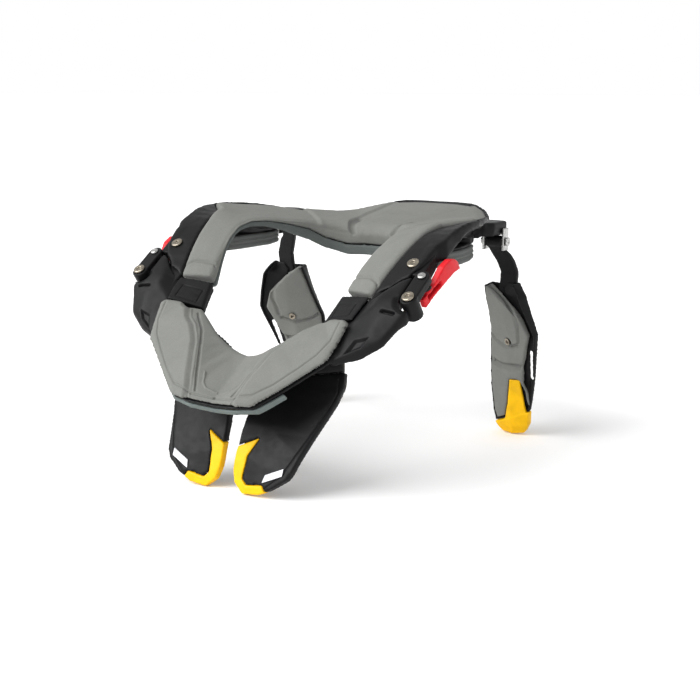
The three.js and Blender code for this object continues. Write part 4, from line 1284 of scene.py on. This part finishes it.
@dataclass
class ChestWing:
    """One short wing on the chest side: tray, foam, yellow cap, white stripe and its bracket."""

    side: Side
    finishes: Finishes
    shell_voxel: float = 0.001
    body: str = "front_half"

    FACE: Point = (0.0, -0.92, 0.4)
    RIM = [
        (40.0, -57.0, 6.0), (56.0, -52.0, 20.0), (61.0, -51.0, 33.0), (68.0, -45.0, 50.0),
        (77.5, -32.0, 73.0), (82.0, -22.0, 86.0), (80.0, -15.0, 94.0),
    ]

    def build(self) -> list[bpy.types.Object]:
        """Makes the wing's pieces."""
        return [self.tray(), self.cap(), self.foam(), self.stripe(), self.bracket()]

    def tray(self) -> bpy.types.Object:
        """The black tray with a line inside its outer edge.

        Returns:
            The finished piece.
        """
        node = self.side.name_of("front_wing_shell")
        work = Workpiece.of_node(node).soften(self.shell_voxel, 4)
        work.groove(self.RIM, self.FACE, 1.8, 0.7, self.side)
        return work.finish(self.body, Slot.SHELL, self.finishes, node)

    def cap(self) -> bpy.types.Object:
        """The yellow cap round the tip.

        Returns:
            The finished piece.
        """
        node = self.side.name_of("front_wing_cap")
        work = Workpiece.of_node(node).soften(0.0007, 5)
        return work.finish(self.body, Slot.CAP, self.finishes, node)

    def foam(self) -> bpy.types.Object:
        """The foam towards the chest.

        Returns:
            The finished piece.
        """
        node = self.side.name_of("front_wing_pad")
        work = Workpiece.of_node(node).soften(0.0013, 7)
        # The wing's foam takes the darker foam finish: painted shade.
        pad = work.finish(self.body, Slot.FOAM_DARK, self.finishes, node)
        return pad

    def stripe(self) -> bpy.types.Object:
        """The white stripe.

        Returns:
            The finished piece.
        """
        node = self.side.name_of("front_wing_stripe")
        work = Workpiece.of_node(node)
        bevel = work.obj.modifiers.new("soft edge", "BEVEL")
        bevel.width, bevel.segments = 0.00012, 2
        work.evaluated()
        return work.finish(self.body, Slot.STRIPE, self.finishes, node)

    def bracket(self) -> bpy.types.Object:
        """The black bracket between the wing and the shell.

        Returns:
            The finished piece.
        """
        node = self.side.name_of("front_wing_bracket")
        work = Workpiece.of_node(node).soften(0.0009, 4)
        return work.finish(self.body, Slot.SHELL, self.finishes, node)


@dataclass
class BackWing:
    """One long wing on the back: bracket, pivot, strut, tray, foam, cap and grommet."""

    side: Side
    finishes: Finishes
    shell_voxel: float = 0.001
    foam_reach: float = 4.0

    FACE: Point = (-0.3, -0.92, -0.3)
    OVER: Point = (0.3, -0.8, 0.5)
    FOLD = [
        (98.0, 203.0, 143.0), (110.0, 199.0, 139.0), (122.0, 196.0, 131.0), (130.0, 194.0, 121.0),
        (135.0, 195.0, 108.0), (134.0, 199.0, 94.0),
    ]
    BAND = [(90.0, 218.0, 69.0), (107.0, 218.0, 66.5), (136.0, 210.0, 69.0)]
    TONGUE_SIDE = (118.0, 128.0)
    TONGUE_TOP = (56.0, 44.0)
    WAIST = [(92.0, 218.0, 98.0), (104.0, 214.0, 89.0), (118.0, 208.0, 86.0), (132.0, 203.0, 90.0)]

    def build(self) -> list[bpy.types.Object]:
        """Makes the wing and its mount.

        Returns:
            The finished pieces.
        """
        return [
            self.bracket(), self.pivot(), self.strut(), self.tray(), self.foam(), self.cap(),
            self.grommet(),
        ]

    @property
    def body(self) -> str:
        """CAD body of the moving pieces."""
        return self.side.name_of("rear_wing")

    def metal(self, base: str) -> bpy.types.Object:
        """A small metal part of the mount, its edges broken.

        Args:
            base: name of the pair of nodes.

        Returns:
            The finished piece.
        """
        node = self.side.name_of(base)
        work = Workpiece.of_node(node).soften(0.0005, 3)
        return work.finish("rear_half", Slot.STEEL, self.finishes, node)

    def bracket(self) -> bpy.types.Object:
        """The bracket under the rear half."""
        return self.metal("rear_wing_bracket")

    def pivot(self) -> bpy.types.Object:
        """The pivot screw with its nut."""
        return self.metal("pivot_screw")

    def strut(self) -> bpy.types.Object:
        """The grained strut.

        Returns:
            The finished piece.
        """
        node = self.side.name_of("rear_wing_strut")
        work = Workpiece.of_node(node).soften(0.0007, 5)
        return work.finish(self.body, Slot.STRUT, self.finishes, node)

    def tray(self) -> bpy.types.Object:
        """The black tray.

        Returns:
            The finished piece.
        """
        node = self.side.name_of("rear_wing_shell")
        work = Workpiece.of_node(node).soften(self.shell_voxel, 5)
        return work.finish(self.body, Slot.SHELL, self.finishes, node)

    def foam(self) -> bpy.types.Object:
        """The foam of the wing, folded across the top and banded lower down.

        Returns:
            The finished piece.
        """
        node = self.side.name_of("rear_wing_pad")
        work = Workpiece.of_node(node).soften(0.0011, 6).shift(self.widen)
        work.groove(self.FOLD, self.OVER, 5.0, 2.0, self.side)
        work.groove(self.BAND, self.FACE, 9.0, 3.8, self.side)
        work.groove(self.WAIST, self.FACE, 5.5, 2.6, self.side)
        pad = work.finish(self.body, Slot.FOAM, self.finishes, node)
        return pad

    def widen(self, co: np.ndarray, normal: np.ndarray) -> np.ndarray:
        """Carries the foam beside the tongue out to the tray's rim."""
        beside = between(abs(co[:, 0]), *self.TONGUE_SIDE) * between(co[:, 2], *self.TONGUE_TOP)
        out = beside * self.foam_reach / 1000
        return np.stack([np.sign(co[:, 0]) * out, -out * 0.25, np.zeros(len(co))], 1)

    def cap(self) -> bpy.types.Object:
        """The yellow cap with its tongue.

        Returns:
            The finished piece.
        """
        node = self.side.name_of("rear_wing_cap")
        work = Workpiece.of_node(node).soften(0.0007, 5)
        return work.finish(self.body, Slot.CAP, self.finishes, node)

    def grommet(self) -> bpy.types.Object:
        """The metal eyelet.

        Returns:
            The finished piece.
        """
        node = self.side.name_of("rear_wing_grommet")
        work = Workpiece.of_node(node).soften(0.00035, 3)
        return work.finish(self.body, Slot.NICKEL, self.finishes, node)


# The studio


@dataclass
class Studio:
    """Pale floor, soft light and the photograph's camera."""

    camera_at: Point = (0.639485, -0.951283, 0.322876)
    pitch: float = 0.202287
    yaw: float = 0.58266
    focal_pixels: float = 1300.0
    floor_colour: Point = (0.97, 0.97, 0.97)
    horizon: float = 1.0
    zenith: float = 0.78
    sun_power: float = 3.2
    sun_size: float = 0.9

    def build(self) -> None:
        """Makes the floor, the lights and the camera."""
        scene = bpy.context.scene
        scene.view_settings.view_transform = "Standard"
        self.floor()
        self.world(scene)
        self.sun((-0.8, -1.0, 1.05))
        self.light("glint", (-0.9, -1.3, 0.75), (0.0, -0.15, 0.05), 0.6, 3.0)
        data = bpy.data.cameras.new("camera")
        data.sensor_width = SENSOR
        data.lens = self.focal_pixels / FRAME_PIXELS * SENSOR
        camera = bpy.data.objects.new("camera", data)
        camera.location = self.camera_at
        camera.rotation_euler = (math.pi / 2 - self.pitch, 0, self.yaw)
        scene.collection.objects.link(camera)
        scene.camera = camera

    def floor(self) -> None:
        """A large pale floor."""
        mesh = bpy.data.meshes.new("floor")
        reach = 30.0
        corners = [(-reach, -reach, 0), (reach, -reach, 0), (reach, reach, 0), (-reach, reach, 0)]
        mesh.from_pydata(corners, [], [(0, 1, 2, 3)])
        r = Recipe("pale_floor")
        tint = tuple(c * 0.99 for c in self.floor_colour)
        r.colour(r.ramp(r.noise(2, 2), [(0.3, self.floor_colour), (0.7, tint)]))
        r.put(Roughness=0.9, Specular_IOR_Level=0.1)
        mesh.materials.append(r.material)
        floor = bpy.data.objects.new("floor", mesh)
        bpy.context.scene.collection.objects.link(floor)

    def world(self, scene: bpy.types.Scene) -> None:
        """A sky that is white at the horizon and a little dimmer above.

        Args:
            scene: scene that gets it.
        """
        world = bpy.data.worlds.new("white_sky")
        world.use_nodes = True
        tree = world.node_tree
        split = tree.nodes.new("ShaderNodeSeparateXYZ")
        tree.links.new(tree.nodes.new("ShaderNodeTexCoord").outputs["Generated"], split.inputs["Vector"])
        ramp = tree.nodes.new("ShaderNodeValToRGB")
        low, high = ramp.color_ramp.elements
        low.position, high.position = 0.14, 0.5
        low.color, high.color = (*(self.horizon,) * 3, 1), (*(self.zenith,) * 3, 1)
        tree.links.new(split.outputs["Z"], ramp.inputs["Fac"])
        tree.links.new(ramp.outputs["Color"], tree.nodes["Background"].inputs["Color"])
        scene.world = world

    def sun(self, at: Point) -> None:
        """A very soft sun that shines from a direction.

        Args:
            at: direction towards the sun.
        """
        data = bpy.data.lights.new("key", "SUN")
        data.energy, data.angle = self.sun_power, self.sun_size
        lamp = bpy.data.objects.new("key", data)
        lamp.rotation_euler = (-Vector(at)).to_track_quat("-Z", "Y").to_euler()
        bpy.context.scene.collection.objects.link(lamp)

    def light(self, name: str, at: Point, aim: Point, size: float, power: float) -> None:
        """A large soft lamp.

        Args:
            name: its name.
            at: where it hangs.
            aim: what it points at.
            size: edge of its square.
            power: its power in watts.
        """
        data = bpy.data.lights.new(name, "AREA")
        data.size, data.energy = size, power
        lamp = bpy.data.objects.new(name, data)
        lamp.location = at
        lamp.rotation_euler = (Vector(aim) - Vector(at)).to_track_quat("-Z", "Y").to_euler()
        bpy.context.scene.collection.objects.link(lamp)


def main() -> None:
    """Builds every sub-assembly and reports its pieces."""
    logging.basicConfig(level=logging.INFO, format="%(name)s %(message)s")
    finishes = Finishes()
    Studio().build()
    parts = [
        RearHalf(finishes), FrontHalf(finishes),
        *(HingeSet(side, finishes) for side in Side),
        *(ChestWing(side, finishes) for side in Side),
        *(BackWing(side, finishes) for side in Side),
    ]
    for part in parts:
        made = part.build()
        log.info("%s: %d pieces", type(part).__name__, len(made))


if __name__ == "__main__":
    main()
